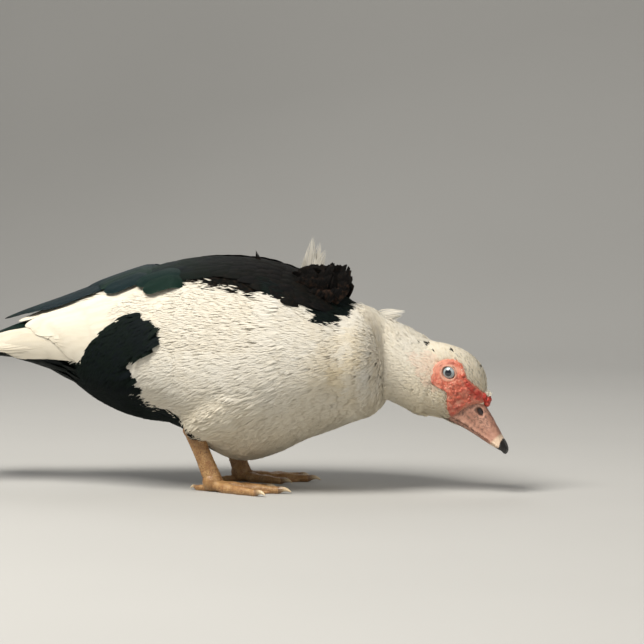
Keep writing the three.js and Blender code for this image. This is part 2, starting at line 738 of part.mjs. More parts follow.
// Tube through named points with an elliptic section that stands across the path
function bentTube(keys, sides, grow) {
  const rings = keys.map((key, k) => {
    const before = keys[Math.max(k - 1, 0)];
    const after = keys[Math.min(k + 1, keys.length - 1)];
    const along = new THREE.Vector3(after.x - before.x, after.y - before.y, after.z - before.z).normalize();
    const across = new THREE.Vector3(0, 1, 0).addScaledVector(along, -along.y).normalize();
    const up = new THREE.Vector3().crossVectors(along, across).negate();
    const ring = [];
    for (let i = 0; i < sides; i += 1) {
      const angle = (2 * Math.PI * i) / sides;
      const point = new THREE.Vector3(key.x, key.y, key.z);
      point.addScaledVector(across, (key.half + grow) * Math.sin(angle));
      point.addScaledVector(up, (key.deep + grow) * Math.cos(angle));
      ring.push(point);
    }
    return ring;
  });
  return loft(rings);
}

// The head's frame
const headMatrix = new THREE.Matrix4().makeTranslation(HEAD_PLACE)
  .multiply(new THREE.Matrix4().makeRotationZ(radians(HEAD_TURN)))
  .multiply(new THREE.Matrix4().makeRotationY(radians(HEAD_PITCH)));

const inHead = (ring) => ring.map((p) => p.applyMatrix4(headMatrix));

function headLoft(grow, stations = HEAD_STATIONS, count = HEAD_SIDES) {
  const rings = [];
  const start = HEAD[0].x - grow;
  const end = HEAD.at(-1).x + grow;
  for (let s = 0; s <= stations; s += 1) {
    const x = lerp(start, end, s / stations);
    const section = sectionAt(HEAD, x, grow);
    const ring = [];
    for (let i = 0; i < count; i += 1) ring.push(sectionPoint(section, x, (2 * Math.PI * i) / count));
    rings.push(inHead(ring));
  }
  return loft(rings);
}

// Floor of the pockets that the bare faces lie in
const faceFloor = (grow) => headLoft(-FACE_SUNK - grow, 8, 12);

// Height of the head's side at a place seen from the side
function headSide(x, z) {
  const section = sectionAt(HEAD, x, 0);
  const reach = z > section.wide ? section.top - section.wide : section.wide - section.bottom;
  const level = THREE.MathUtils.clamp((z - section.wide) / reach, -1, 1);
  return section.half * Math.sqrt(1 - level * level);
}

// Bill ring: one side flat, the other an arch, above for the upper bill and below for the lower
function billRing(key, grow, upper) {
  const ring = [];
  const flat = upper ? key.bottom - grow : key.top + grow;
  const rise = (key.top - key.bottom + 2 * grow) * (upper ? 1 : -1);
  for (let i = 0; i < BILL_SIDES; i += 1) {
    const angle = (2 * Math.PI * i) / BILL_SIDES;
    const arch = Math.max(Math.sin(angle), 0);
    const z = flat + rise * Math.pow(arch, BILL_ROUNDNESS);
    ring.push(new THREE.Vector3(key.x, (key.half + grow) * Math.cos(angle), z));
  }
  return ring;
}

function bill(keys, grow, upper) {
  const last = keys.length - 1;
  const rings = keys.map((key, k) => {
    const x = key.x + (k === last ? grow : 0) - (k === 0 ? grow : 0);
    return inHead(billRing({ ...key, x }, grow, upper));
  });
  return loft(rings);
}

const upperBill = (grow) => bill(UPPER_BILL, grow, true);

// Line of the mouth: the lower bill's top stays a gap under the upper bill
function lowerBill(grow) {
  const keys = LOWER_BILL.map((key) => {
    const top = keyedLine(UPPER_BILL, key.x, 'bottom') - MOUTH_GAP;
    return { ...key, top };
  });
  return bill(keys, grow, false);
}

// Bare face: the head's skin raised over its outline, on one side
function faceOutline(grow) {
  const points = FACE_OUTLINE.map(([x, z]) => new THREE.Vector2(x, z));
  const centre = points.reduce((sum, p) => sum.add(p), new THREE.Vector2()).divideScalar(points.length);
  const grown = points.map((p) => p.clone().add(p.clone().sub(centre).setLength(grow)));
  const curve = new THREE.SplineCurve([...grown, grown[0]]);
  return curve.getPoints(FACE_POINTS).slice(0, -1);
}

function faceBlock(side, grow) {
  const shape = new THREE.Shape(faceOutline(grow));
  const reach = FACE_REACH + grow;
  const geometry = new THREE.ExtrudeGeometry(shape, { depth: reach, bevelEnabled: false });
  geometry.applyMatrix4(new THREE.Matrix4().makeRotationX(Math.PI / 2));
  const inner = FACE_PARTING - grow;
  const start = side > 0 ? inner + reach : -inner;
  geometry.applyMatrix4(new THREE.Matrix4().makeTranslation(0, start, 0));
  return placed(geometry, headMatrix);
}

function ball(radius, detail, centre) {
  const geometry = new THREE.IcosahedronGeometry(radius, detail);
  return placed(geometry, new THREE.Matrix4().makeTranslation(centre));
}

function eyeBall(side, grow) {
  const y = side * (headSide(EYE.x, EYE.z) + FACE_RAISED + EYE.proud - EYE.radius);
  const centre = new THREE.Vector3(EYE.x, y, EYE.z).applyMatrix4(headMatrix);
  return placed(
    new THREE.SphereGeometry(EYE.radius + grow, 12, 8),
    new THREE.Matrix4().makeTranslation(centre),
  );
}

function lidRing(side) {
  const geometry = new THREE.TorusGeometry(LID_RADIUS, LID_THICK, 4, 12);
  geometry.applyMatrix4(new THREE.Matrix4().makeRotationX(Math.PI / 2));
  const y = side * (headSide(EYE.x, EYE.z) + FACE_RAISED - 0.2);
  geometry.applyMatrix4(new THREE.Matrix4().makeTranslation(EYE.x, y, EYE.z));
  return placed(geometry, headMatrix);
}

function bulb(radius, centre) {
  return placed(new THREE.IcosahedronGeometry(radius, 0), new THREE.Matrix4().makeTranslation(centre));
}

function caruncles(side) {
  const bulbs = [];
  for (const row of CARUNCLE_ROWS) {
    for (let i = 0; i < row.count; i += 1) {
      const t = i / (row.count - 1);
      const x = lerp(row.from[0], row.to[0], t) + 0.7 * Math.sin(9 * i + row.from[0]);
      const z = lerp(row.from[1], row.to[1], t) + 0.7 * Math.cos(7 * i);
      const radius = lerp(row.radius[0], row.radius[1], t) * (1 + 0.12 * Math.sin(5 * i));
      const y = side * (headSide(x, z) + FACE_RAISED - 0.1 * radius);
      bulbs.push(bulb(radius, new THREE.Vector3(x, y, z).applyMatrix4(headMatrix)));
    }
  }
  return bulbs;
}

// Central caruncle between the forehead and the bill
function knob(grow) {
  return union(KNOB_BULBS.map(({ at, radius }) => {
    const centre = new THREE.Vector3(...at).applyMatrix4(headMatrix);
    return ball(radius + grow, 1, centre);
  }));
}

function thigh(leg, grow) {
  const [x, y, z] = leg.hock;
  const keys = THIGH.map((key) => ({ ...key, y: leg.side * key.y }));
  keys.push({ x: x + 2, y, z: z - 1, deep: THIGH_END, half: THIGH_END });
  return bentTube(keys, THIGH_SIDES, grow);
}

function shank(leg, grow) {
  const hock = new THREE.Vector3(...leg.hock);
  const ankle = new THREE.Vector3(...leg.ankle);
  const keys = SHANK.map(({ at, deep, half }) => {
    const { x, y, z } = hock.clone().lerp(ankle, at);
    return { x, y, z, deep, half };
  });
  return bentTube(keys, SHANK_SIDES, grow);
}

// Foot's frame on the floor under the ankle
function footMatrix(leg) {
  const [ax, ay] = leg.ankle;
  return new THREE.Matrix4().makeTranslation(ax, ay, 0)
    .multiply(new THREE.Matrix4().makeRotationZ(radians(leg.turn)));
}

function toeDirection(toe, side) {
  const yaw = radians(toe.angle) * side;
  return new THREE.Vector3(Math.cos(yaw), Math.sin(yaw), 0);
}

function toePath(toe, side) {
  const away = toeDirection(toe, side);
  const hind = toe.name === 'hind';
  const point = (t, z) => away.clone().multiplyScalar(toe.length * t).setZ(z);
  const root = hind ? 9 : 7;
  return [
    { at: point(0, root), radius: toe.radius * 1.15 },
    { at: point(0.2, lerp(root, toe.radius * 0.8, 0.75)), radius: toe.radius * 1.05 },
    { at: point(0.42, toe.radius * 0.78), radius: toe.radius * 0.95 },
    { at: point(0.76, toe.radius * 0.68), radius: toe.radius * 0.82 },
    { at: point(1, toe.radius * 0.58), radius: toe.radius * 0.6 },
  ];
}

const toeSolid = (toe, side) => toeTube(toePath(toe, side), toeDirection(toe, side));

// Round tube near the floor, with each of its rings upright across one direction
function toeTube(keys, away) {
  const across = new THREE.Vector3(-away.y, away.x, 0);
  return loft(keys.map(({ at, radius }) => {
    const ring = [];
    for (let i = 0; i < TOE_SIDES; i += 1) {
      const angle = (2 * Math.PI * i) / TOE_SIDES;
      const point = at.clone().addScaledVector(across, radius * Math.cos(angle));
      point.z += radius * Math.sin(angle);
      ring.push(point);
    }
    return ring;
  }));
}

// Web between two toes: its front edge is a shallow inward arc
function web(first, second, side) {
  const tip = (toe, share) => {
    const yaw = radians(toe.angle) * side;
    return new THREE.Vector2(Math.cos(yaw), Math.sin(yaw)).multiplyScalar(toe.length * share);
  };
  const a = tip(first, 0.93);
  const b = tip(second, 0.93);
  const dip = a.clone().add(b).multiplyScalar(0.5 * 0.84);
  const edge = new THREE.QuadraticBezierCurve(a, dip, b).getPoints(4);
  const shape = new THREE.Shape([new THREE.Vector2(0, 0), ...edge]);
  const geometry = new THREE.ExtrudeGeometry(shape, { depth: WEB_THICK, bevelEnabled: false });
  geometry.applyMatrix4(new THREE.Matrix4().makeTranslation(0, 0, WEB_LIFT));
  return geometry;
}

function foot(leg) {
  const matrix = footMatrix(leg);
  const toes = TOES.map((toe) => toeSolid(toe, leg.side));
  const webs = [[0, 1], [1, 2]].map(([i, j]) => fromGeometry(web(TOES[i], TOES[j], leg.side)));
  const knuckleMatrix = new THREE.Matrix4().makeTranslation(0, 0, KNUCKLE_RADIUS);
  const knuckle = placed(new THREE.SphereGeometry(KNUCKLE_RADIUS, 8, 6), knuckleMatrix);
  const whole = union([knuckle, ...toes, ...webs]).transform(matrix.toArray());
  const floor = beyond(new THREE.Vector3(0, 0, 0), new THREE.Vector3(0, 0, 1));
  const above = beyond(new THREE.Vector3(0, 0, ANKLE_CUT_Z - GAP), new THREE.Vector3(0, 0, 1));
  return cut(whole.intersect(floor), above);
}

// Claw: a bent cone from the end of its toe down to the floor
function claw(leg, toe) {
  const end = toePath(toe, leg.side).at(-1);
  const away = toeDirection(toe, leg.side);
  const length = toe.name === 'hind' ? CLAW_LENGTH * 0.6 : CLAW_LENGTH;
  const steps = 3;
  const keys = [];
  for (let i = 0; i <= steps; i += 1) {
    const t = i / steps;
    const radius = lerp(end.radius * 0.85, 0.35, t);
    const at = end.at.clone().addScaledVector(away, GAP + length * t);
    at.z += 1.5 * Math.sin(Math.PI * t * 0.8) - end.at.z * 0.75 * t * t;
    at.z = Math.max(at.z, radius + 0.2);
    keys.push({ at, radius });
  }
  return toeTube(keys, away).transform(footMatrix(leg).toArray());
}

// Build every node
const sides = [['right', -1], ['left', 1]];
const nodes = [];
const keep = (name, body, colour, roughness) => nodes.push({ name, body, colour, roughness });

const whole = bodyWhole(0);
const round = bodyWhole(GAP);
const inlays = [backPocket(), ...sides.map(([, side]) => wingPocket(side))];

const tailRoot = beyond(new THREE.Vector3(TAIL_ROOT_X, 0, 0), new THREE.Vector3(-1, 0, 0));
const tailRootGap = beyond(new THREE.Vector3(TAIL_ROOT_X + GAP, 0, 0), new THREE.Vector3(-1, 0, 0));
const openBody = cut(whole, ...inlays);

const torso = cut(union([whole, ...frontTuft()]), ...inlays);
keep('torso', cut(torso, rearRegion(GAP)), WHITE_PLUMAGE, 0.9);
keep('rump', cut(openBody.intersect(rearRegion(0)), tailRootGap), DARK_PLUMAGE, 0.7);
const tailBody = openBody.intersect(tailRoot);
const coverts = [...tailCoverts(true), ...tailCoverts(false)];
keep('tail', union([tailBody, ...tailFeathers(), ...coverts]), DARK_PLUMAGE, 0.6);
const scapularCuts = sides.flatMap(([, side]) => scapularFeathers(side, GAP));
keep('mantle', cut(mantle(), ...scapularCuts), DARK_PLUMAGE, 0.7);
for (const [name, side] of sides) {
  keep(`scapulars_${name}`, scapulars(side), GREEN_PLUMAGE, 0.5);
  keep(`wing_${name}`, side > 0 ? union([wing(side), ...highTuft()]) : wing(side), WHITE_PLUMAGE, 0.8);
}

const neckAndHead = bentTube(NECK, NECK_SIDES, 0).add(headLoft(0));
const along = new THREE.Vector3(Math.cos(radians(NECK_CUT_PITCH)), 0, -Math.sin(radians(NECK_CUT_PITCH)));
const headSideOf = beyond(NECK_CUT, along);
const headSideGap = beyond(NECK_CUT.clone().addScaledVector(along, -GAP), along);
keep('neck', cut(neckAndHead, headSideGap, round), WHITE_PLUMAGE, 0.9);

const billCut = upperBill(GAP).add(lowerBill(GAP));
const eyeCuts = sides.map(([, side]) => eyeBall(side, GAP));
const facePlates = sides.map(([, side]) => headLoft(FACE_RAISED).intersect(faceBlock(side, 0)));
const facePockets = sides.map(([, side]) => cut(faceBlock(side, GAP), faceFloor(POCKET_GAP)));
const headWhole = neckAndHead.intersect(headSideOf);
keep('head', cut(headWhole, billCut, ...facePockets, ...eyeCuts), WHITE_PLUMAGE, 0.9);
sides.forEach(([name, side], i) => {
  const raised = union([facePlates[i], lidRing(side), ...caruncles(side)]);
  const skin = cut(raised, faceFloor(0));
  keep(`face_${name}`, cut(skin, billCut, eyeCuts[i], knob(GAP)), FACE_RED, 0.6);
  keep(`eye_${name}`, eyeBall(side, 0), IRIS_BLUE, 0.15);
});
keep('caruncle_knob', cut(knob(0), billCut, headLoft(GAP)), FACE_RED, 0.5);

const nailPlane = new THREE.Vector3(NAIL_START, 0, 0).applyMatrix4(headMatrix);
const billAway = new THREE.Vector3(1, 0, 0).transformDirection(headMatrix);
const nailSide = beyond(nailPlane, billAway);
const nailGap = beyond(nailPlane.clone().addScaledVector(billAway, -GAP), billAway);
const nostrils = sides.map(([, side]) => {
  const geometry = new THREE.SphereGeometry(1, 10, 6);
  geometry.applyMatrix4(new THREE.Matrix4().makeScale(NOSTRIL.long, NOSTRIL.deep, NOSTRIL.high));
  geometry.applyMatrix4(new THREE.Matrix4().makeRotationY(radians(16)));
  geometry.applyMatrix4(new THREE.Matrix4().makeTranslation(NOSTRIL.x, side * NOSTRIL.y, NOSTRIL.z));
  return placed(geometry, headMatrix);
});
keep('bill_upper', cut(upperBill(0), nailGap, ...nostrils), BILL_PINK, 0.5);
keep('bill_nail', upperBill(0).intersect(nailSide), NAIL_BLACK, 0.35);
keep('bill_lower', lowerBill(0), BILL_PINK, 0.5);

const ankleUp = beyond(new THREE.Vector3(0, 0, ANKLE_CUT_Z), new THREE.Vector3(0, 0, 1));
for (const [name] of sides) {
  const leg = LEGS[name];
  keep(`thigh_${name}`, cut(thigh(leg, 0), round), WHITE_PLUMAGE, 0.9);
  keep(`shank_${name}`, cut(shank(leg, 0).intersect(ankleUp), thigh(leg, GAP), round), LEG_OCHRE, 0.7);
  keep(`foot_${name}`, foot(leg), LEG_OCHRE, 0.7);
  for (const toe of TOES) keep(`claw_${name}_${toe.name}`, claw(leg, toe), CLAW_HORN, 0.4);
}

// One closed body of each node: its largest closed surface
function largest(body) {
  const parts = body.decompose();
  return parts.reduce((best, part) => (part.volume() > best.volume() ? part : best));
}

function toGeometry(body) {
  const mesh = body.getMesh();
  const geometry = new THREE.BufferGeometry();
  const positions = new Float32Array(mesh.numVert * 3);
  for (let v = 0; v < mesh.numVert; v += 1) {
    for (let k = 0; k < 3; k += 1) positions[3 * v + k] = mesh.vertProperties[v * mesh.numProp + k];
  }
  geometry.setAttribute('position', new THREE.BufferAttribute(positions, 3));
  geometry.setIndex(Array.from(mesh.triVerts));
  geometry.computeVertexNormals();
  return geometry;
}

// The object's own frame: origin on the floor under the middle of its box
const duck = new THREE.Group();
duck.name = 'muscovy_duck';
const meshes = nodes.map(({ name, body, colour, roughness }) => {
  const material = new THREE.MeshStandardMaterial({ color: colour, roughness, metalness: 0 });
  const mesh = new THREE.Mesh(toGeometry(largest(body)), material);
  mesh.name = name;
  return mesh;
});
const box = new THREE.Box3();
for (const mesh of meshes) {
  mesh.geometry.computeBoundingBox();
  box.union(mesh.geometry.boundingBox);
}
const middle = box.getCenter(new THREE.Vector3());
for (const mesh of meshes) {
  mesh.geometry.translate(-middle.x, -middle.y, -box.min.z);
  duck.add(mesh);
}

export default duck;
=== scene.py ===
"""A still, life-size pied muscovy duck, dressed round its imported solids.

Sizes are millimetres in the duck's own frame: X to the bill, Y to its left, Z up from the
floor, and angles are degrees. Everything becomes metres in the row frame when a mesh is made.
"""

import math
from functools import partial

import bpy
import numpy as np
from bpy.props import FloatProperty, FloatVectorProperty, IntProperty, PointerProperty
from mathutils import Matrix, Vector
from mathutils.bvhtree import BVHTree


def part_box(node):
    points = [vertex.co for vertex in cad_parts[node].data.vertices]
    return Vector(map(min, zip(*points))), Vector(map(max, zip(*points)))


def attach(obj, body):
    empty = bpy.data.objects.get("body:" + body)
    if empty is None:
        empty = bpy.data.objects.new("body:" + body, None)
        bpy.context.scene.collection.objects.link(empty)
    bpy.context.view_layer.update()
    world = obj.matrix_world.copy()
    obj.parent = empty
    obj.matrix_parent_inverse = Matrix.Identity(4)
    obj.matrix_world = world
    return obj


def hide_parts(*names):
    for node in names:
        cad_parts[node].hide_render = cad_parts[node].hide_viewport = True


bl_info = {
    "name": "Muscovy duck",
    "version": (1, 0, 0),
    "blender": (4, 5, 0),
    "location": "3D View > Sidebar > Duck",
    "description": "Builds a pied muscovy duck with its plumage, bare face, bill and feet",
    "category": "Object",
}

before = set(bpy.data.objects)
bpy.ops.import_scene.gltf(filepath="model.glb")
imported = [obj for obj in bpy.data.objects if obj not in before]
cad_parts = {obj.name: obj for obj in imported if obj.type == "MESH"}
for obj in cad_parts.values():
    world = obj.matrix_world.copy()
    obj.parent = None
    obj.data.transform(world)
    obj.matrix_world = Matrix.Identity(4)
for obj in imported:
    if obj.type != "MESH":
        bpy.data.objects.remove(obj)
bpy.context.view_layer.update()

MM = 0.001
SIDES = {"right": -1, "left": 1}
WING_FRONT = 46.0
SHIFT = np.array([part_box("wing_right")[1].x / MM - WING_FRONT, 0.0, 0.0])

# Body sections from the tail to the shoulder: x, top, bottom, half width, level of the width
BODY = np.array([
    [-196, 144, 130, 13, 137],
    [-186, 150, 120, 27, 137],
    [-165, 161, 97, 42, 133],
    [-135, 174, 74, 56, 126],
    [-100, 187, 60, 70, 120],
    [-60, 198, 54, 81, 116],
    [-38, 202, 37, 85, 113],
    [-10, 203, 24, 88, 110],
    [18, 200, 28, 88, 110],
    [45, 191, 41, 85, 111],
    [75, 176, 51, 78, 112],
    [96, 163, 60, 69, 112],
], float)
BREAST_X = 96.0
BREAST_DEPTH = 34.0
BREAST_AXIS = 112.0
BREAST_POWER = 0.42
BREAST_ROUND = 40.0

# Outer surface of the closed wings behind the body sections that they share
CLOAK = np.vstack([
    [
        [-240, 138, 104, 34, 121],
        [-205, 150, 95, 45, 125],
        [-170, 162, 84, 55, 128],
        [-135, 175, 70, 63, 126],
        [-100, 187, 60, 71, 120],
    ],
    BODY[5:],
])

# Neck: x, y, z of its middle line, half depth, half width
NECK = np.array([
    [88, 0, 121, 33, 31],
    [108, 0, 118, 33, 30],
    [128, -0.5, 112.5, 32.5, 29],
    [148, -1.5, 104, 32, 27],
    [166, -3, 95, 32, 25],
    [178, -4, 89, 27, 20],
], float)

# Head in its own frame: x, top, bottom, half width, level of the width
HEAD_PLACE = np.array([180.0, -4.0, 91.8])
HEAD_TURN = -6.0
HEAD_PITCH = 43.0
HEAD = np.array([
    [-46, 8, -14, 11, -4],
    [-40, 15.5, -24, 18, -5],
    [-30, 23.5, -34, 22, -8],
    [-20, 29.5, -38.5, 23.3, -9],
    [-10, 33.3, -36.8, 23.6, -9],
    [0, 34.3, -33.4, 23.2, -8],
    [9, 33, -27.8, 20.9, -7],
    [17, 29.3, -23.2, 16.8, -6],
    [24, 22.6, -21.2, 12.9, -5],
    [30, 16.5, -19.6, 10, -5],
    [34, 11, -17.4, 6.5, -5],
], float)

# Bill in the head's frame: x, top, bottom, half width, and x, bottom, half width
UPPER_BILL = np.array([
    [12, 12.5, -17.2, 11.8],
    [22, 12.3, -14.8, 12.8],
    [30, 11.2, -12.3, 12.7],
    [37, 9.4, -10.8, 12.1],
    [46, 7, -9.4, 11.3],
    [55, 4, -8.1, 11],
    [62, 1.4, -6.9, 11.2],
    [68, -0.2, -6.1, 10.2],
    [72, -1.9, -6.7, 7.8],
    [74.6, -3.4, -7.5, 4.6],
    [75.7, -5, -7.6, 2],
], float)
LOWER_BILL = np.array([
    [14, -23.6, 9.3],
    [24, -20.4, 10.4],
    [34, -16.8, 10.8],
    [46, -13.8, 10.2],
    [56, -11.8, 9.9],
    [64, -10, 9.2],
    [68, -9.1, 7.6],
    [70.4, -8.6, 4.6],
], float)
MOUTH_GAP = 0.35
BILL_ROUNDNESS = 0.75
NOSTRIL = {"x": 35.0, "z": 4.8, "long": 4.6, "high": 2.6, "deep": 3.0, "turn": 16.0}

# Eye and bare face, seen from the side in the head's frame: x, z
EYE_X = -6.3
EYE_Z = 12.9
EYE_RADIUS = 8.0
EYE_PROUD = 0.6
FACE_RAISED = 1.1
FACE_OUTLINE = np.array([
    [-20, 12], [-16, 20], [-9.5, 24.6], [-3, 25.2], [3.5, 22.8], [8.5, 19.8], [15, 19.2],
    [21, 18.8], [28.5, 17.5], [31.0, 12.0], [26.5, 4.5], [23.8, -3.5], [23.2, -10.0], [22.5, -16.5],
    [15.5, -13], [10.5, -5], [4, -1], [-5, -3.4], [-11, -4], [-17.5, 1.2],
], float)
KNOB_BULBS = [
    (31.0, 0, 15.2, 4.0),
    (27.5, 3.5, 15.6, 3.2),
    (27.5, -3.5, 15.6, 3.2),
    (34.2, -1.0, 12.8, 2.3),
    (29.4, 2.2, 18.4, 1.9),
    (32.6, -2.4, 15.8, 1.9),
]
CARUNCLE_ROWS = [
    ((5, 18.8), (23, 15.8), 8, 1.7, 2.6),
    ((16.4, -9.5), (20.6, -1), 5, 1.3, 1.9),
    ((4, 4), (15, 3), 4, 1.2, 1.8),
    ((19, 11.5), (24.5, 5), 4, 1.5, 2.2),
]

# White tufts that stand up on the far side: root, tip, half width, bow of each split feather
TUFT_HIGH = [
    ((40, 44, 178), (49, 38, 223), 5.4, (1.5, 0, 0)),
    ((46, 44, 178), (60.5, 38, 211), 5.0, (-1.0, 0, 2)),
    ((38, 44, 178), (41, 38, 206), 2.6, (-1.0, 0, 0)),
    ((43, 46, 178), (54.5, 42, 217), 5.4, (0, 0, 1)),
]
TUFT_FRONT = [
    ((98, 42, 148), (134.0, 36, 155.5), 5.2, (0, 0, 2)),
    ((98, 42, 146), (131.0, 38, 151.5), 4.6, (0, 0, 1)),
    ((100, 42, 144), (126.0, 38, 147.0), 5.0, (0, 0, 1)),
]

# Legs: hock and ankle; thigh x, y, z, half depth, half width; shank share, half depth, half
# width; toes
LEGS = {
    "right": {"side": -1, "hock": (-42, -45.5, 56), "ankle": (-24, -45, 12), "turn": -6},
    "left": {"side": 1, "hock": (-35, 45.5, 55), "ankle": (-20, 45, 12), "turn": 5},
}
THIGH = [
    (16, 54, 98, 20, 20),
    (0, 60, 84, 29, 25.5),
    (-18, 58, 71, 23, 21.5),
    (-32, 52, 61, 16, 15.5),
]
THIGH_END = 11.0
SHANK = np.array([
    [-0.08, 6, 5.2],
    [0, 8.6, 7.3],
    [0.14, 8.1, 6.2],
    [0.5, 7.3, 5.4],
    [0.85, 7.8, 5.7],
    [1.12, 8.4, 6.5],
], float)
TOES = {
    "inner": {"length": 46, "angle": -29, "radius": 4.4},
    "middle": {"length": 61, "angle": 0, "radius": 4.9},
    "outer": {"length": 55, "angle": 27, "radius": 4.5},
    "hind": {"length": 17, "angle": 198, "radius": 3.4},
}
CLAW_LENGTH = 12.0
KNUCKLE_RADIUS = 8.6
WEB_THICK = 1.4
WEB_LIFT = 0.5

# Depth of the coat over the skin
BODY_COAT = 4.5
NECK_COAT = 2.6
HEAD_COAT = 1.4
THIGH_COAT = 3.5

# Where the roots of the coat change from white to black. On the back, x and the angle from the
# top that the black reaches; on the rear flank, level and x of its front edge, and x and level
# of its upper edge, where it lies over the wing
BACK_EDGE = np.array([
    [-196, 46], [-188, 46], [-135, 22], [-121, 26], [-100, 31], [-85, 40], [-64, 39], [-42, 35],
    [-17, 38], [3, 41], [19, 42], [24, 47], [30, 43], [38, 46], [44, 41], [52, 44], [60, 37],
    [70, 38], [78, 43], [84, 52], [93, 51], [100, 40], [108, 26],
], float)
BACK_FRONT = 107.0
REAR_EDGE = np.array([
    [30, -8], [45, -16], [59, -28], [68, -45], [80, -61], [92, -69], [104, -74], [112, -78],
    [120, -84], [128, -66], [138, -51], [150, -57], [158, -64],
], float)
REAR_TOP = np.array([[-128, 119], [-110, 134], [-88, 151], [-72, 157], [-52, 148]], float)
WING_LOW_EDGE = 96.0

# Skin at the tail's root: x, y, z, half depth, half width; then the fan of the tail
TAIL_STUMP = np.array([
    [-150, 0, 141, 16, 30],
    [-185, 0, 137, 9, 24],
    [-200, 0, 133, 4, 14],
], float)
TAIL_BASE = np.array([-172.0, 0.0, 139.0])
TAIL_LENGTH = 136.0
TAIL_PITCH = 10.0
TAIL_SPREAD = 14.0

# Side of a feather's patch on the unwrap, how far the neck widens at the breast, and the turn
# that the ridges of the barbs make for each millimetre
PATCH = 0.003
NECK_FLARE = 7.0
BARB_WAVE = 2 * math.pi / 0.9


# Numbers and frames

def draws(seed):
    """A seeded source of random numbers, so that every run is the same."""
    return np.random.default_rng(seed)


def ease(low, high, value):
    """Smooth step: 0 below low, 1 above high, and between them three times the square of the
    share of the way less twice its cube."""
    t = np.clip((np.asarray(value, float) - low) / (high - low), 0, 1)
    return t * t * (3 - 2 * t)


def unit(vectors):
    """Vectors divided by their lengths."""
    return vectors / np.maximum(np.linalg.norm(vectors, axis=-1, keepdims=True), 1e-9)


def dot(a, b):
    """Sum of the products of two arrays of vectors, kept as a column."""
    return np.sum(a * b, axis=-1, keepdims=True)


def kept(keep, *arrays):
    """The rows of several arrays that a test keeps."""
    return [array[keep] for array in arrays]


def turned(vectors, axis, degrees):
    """Vectors turned round unit axes that stand square to them: each times the angle's cosine,
    plus the axis crossed with it times the sine."""
    angle = np.radians(degrees)[..., None]
    return vectors * np.cos(angle) + np.cross(axis, vectors) * np.sin(angle)


def key_curve(keys, at):
    """Columns of a keyed table at given places of its first column: a cubic from key to key,
    whose slope at a key is that of the line between its two neighbours."""
    stations = keys[:, 0]
    place = np.clip(np.asarray(at, float), stations[0], stations[-1])
    i = np.clip(np.searchsorted(stations, place, side="left") - 1, 0, len(stations) - 2)
    before = np.maximum(i - 1, 0)
    after = np.minimum(i + 2, len(stations) - 1)
    span = (stations[i + 1] - stations[i])[..., None]
    t = (place[..., None] - stations[i][..., None]) / span
    a = keys[i]
    b = keys[i + 1]
    slope_a = (b - keys[before]) / (stations[i + 1] - stations[before])[..., None] * span
    slope_b = (keys[after] - a) / (stations[after] - stations[i])[..., None] * span
    value = (
        (2 * t**3 - 3 * t**2 + 1) * a
        + (t**3 - 2 * t**2 + t) * slope_a
        + (3 * t**2 - 2 * t**3) * b
        + (t**3 - t**2) * slope_b
    )
    return value[..., 1:]


def section(keys, x):
    """Top, bottom, half width and widest level of keyed sections at x."""
    return np.moveaxis(key_curve(keys, x), -1, 0)


def half_height(level, top, bottom, wide):
    """Height of a section's upper half ellipse for levels over its widest one, else the lower."""
    return np.where(level > 0, top - wide, wide - bottom)


def arc_lengths(points):
    """How far each of a line of points lies from its first, along the line."""
    return np.append(0.0, np.cumsum(np.linalg.norm(np.diff(points, axis=0), axis=1)))


def ring_point(x, top, bottom, half, wide, degrees):
    """Point of a section: two half ellipses that meet at its widest level, at an angle from the
    top, positive to the left."""
    angle = np.radians(degrees)
    rise = np.cos(angle)
    reach = half_height(rise, top, bottom, wide)
    return np.stack([x + 0 * angle, half * np.sin(angle), wide + reach * rise], axis=-1)


def keyed_point(keys, x, degrees, grow):
    """Point on a surface of keyed sections, with the sections grown all round."""
    x, degrees = np.broadcast_arrays(np.asarray(x, float), degrees)
    top, bottom, half, wide = section(keys, x)
    return ring_point(x, top + grow, bottom - grow, half + grow, wide, degrees)


def body_point(station, degrees, grow=0.0):
    """Point on the body: keyed sections up to the breast. Past it each section moves on by the
    breast's depth times the sine of an angle, and is drawn in towards its axis by a power of
    one less the square of that sine."""
    station, degrees = np.broadcast_arrays(np.asarray(station, float), degrees)
    turn = np.clip((station - BREAST_X) / BREAST_ROUND, 0, np.pi / 2)
    shrink = np.maximum(1 - np.sin(turn) ** 2, 1e-6) ** BREAST_POWER
    x = np.minimum(station, BREAST_X) + (BREAST_DEPTH + grow) * np.sin(turn)
    top, bottom, half, wide = section(BODY, np.minimum(station, BREAST_X))
    top = BREAST_AXIS + (top + grow - BREAST_AXIS) * shrink
    bottom = BREAST_AXIS + (bottom - grow - BREAST_AXIS) * shrink
    wide = BREAST_AXIS + (wide - BREAST_AXIS) * shrink
    return ring_point(x, top, bottom, (half + grow) * shrink, wide, degrees)


def cloak_point(x, degrees, grow=0.0):
    """Point on the closed wings' outer surface."""
    return keyed_point(CLOAK, x, degrees, grow)


NECK_RUN = arc_lengths(NECK[:, :3])
NECK_LENGTH = NECK_RUN[-1]
NECK_KEYS = np.column_stack([NECK_RUN, NECK])


def neck_flare(run, degrees):
    """How much the neck's skin widens towards the breast, so that the two run into each other:
    most underneath, and not on the nape."""
    below = 0.5 - 0.5 * np.cos(np.radians(degrees))
    return NECK_FLARE * ease(0.42, 0.0, run / NECK_LENGTH) * (0.25 + 0.75 * below)


def line_way(keys, run, step):
    """Direction of a keyed middle line, from its places a step before and a step after."""
    return unit(key_curve(keys, run + step)[..., :3] - key_curve(keys, run - step)[..., :3])


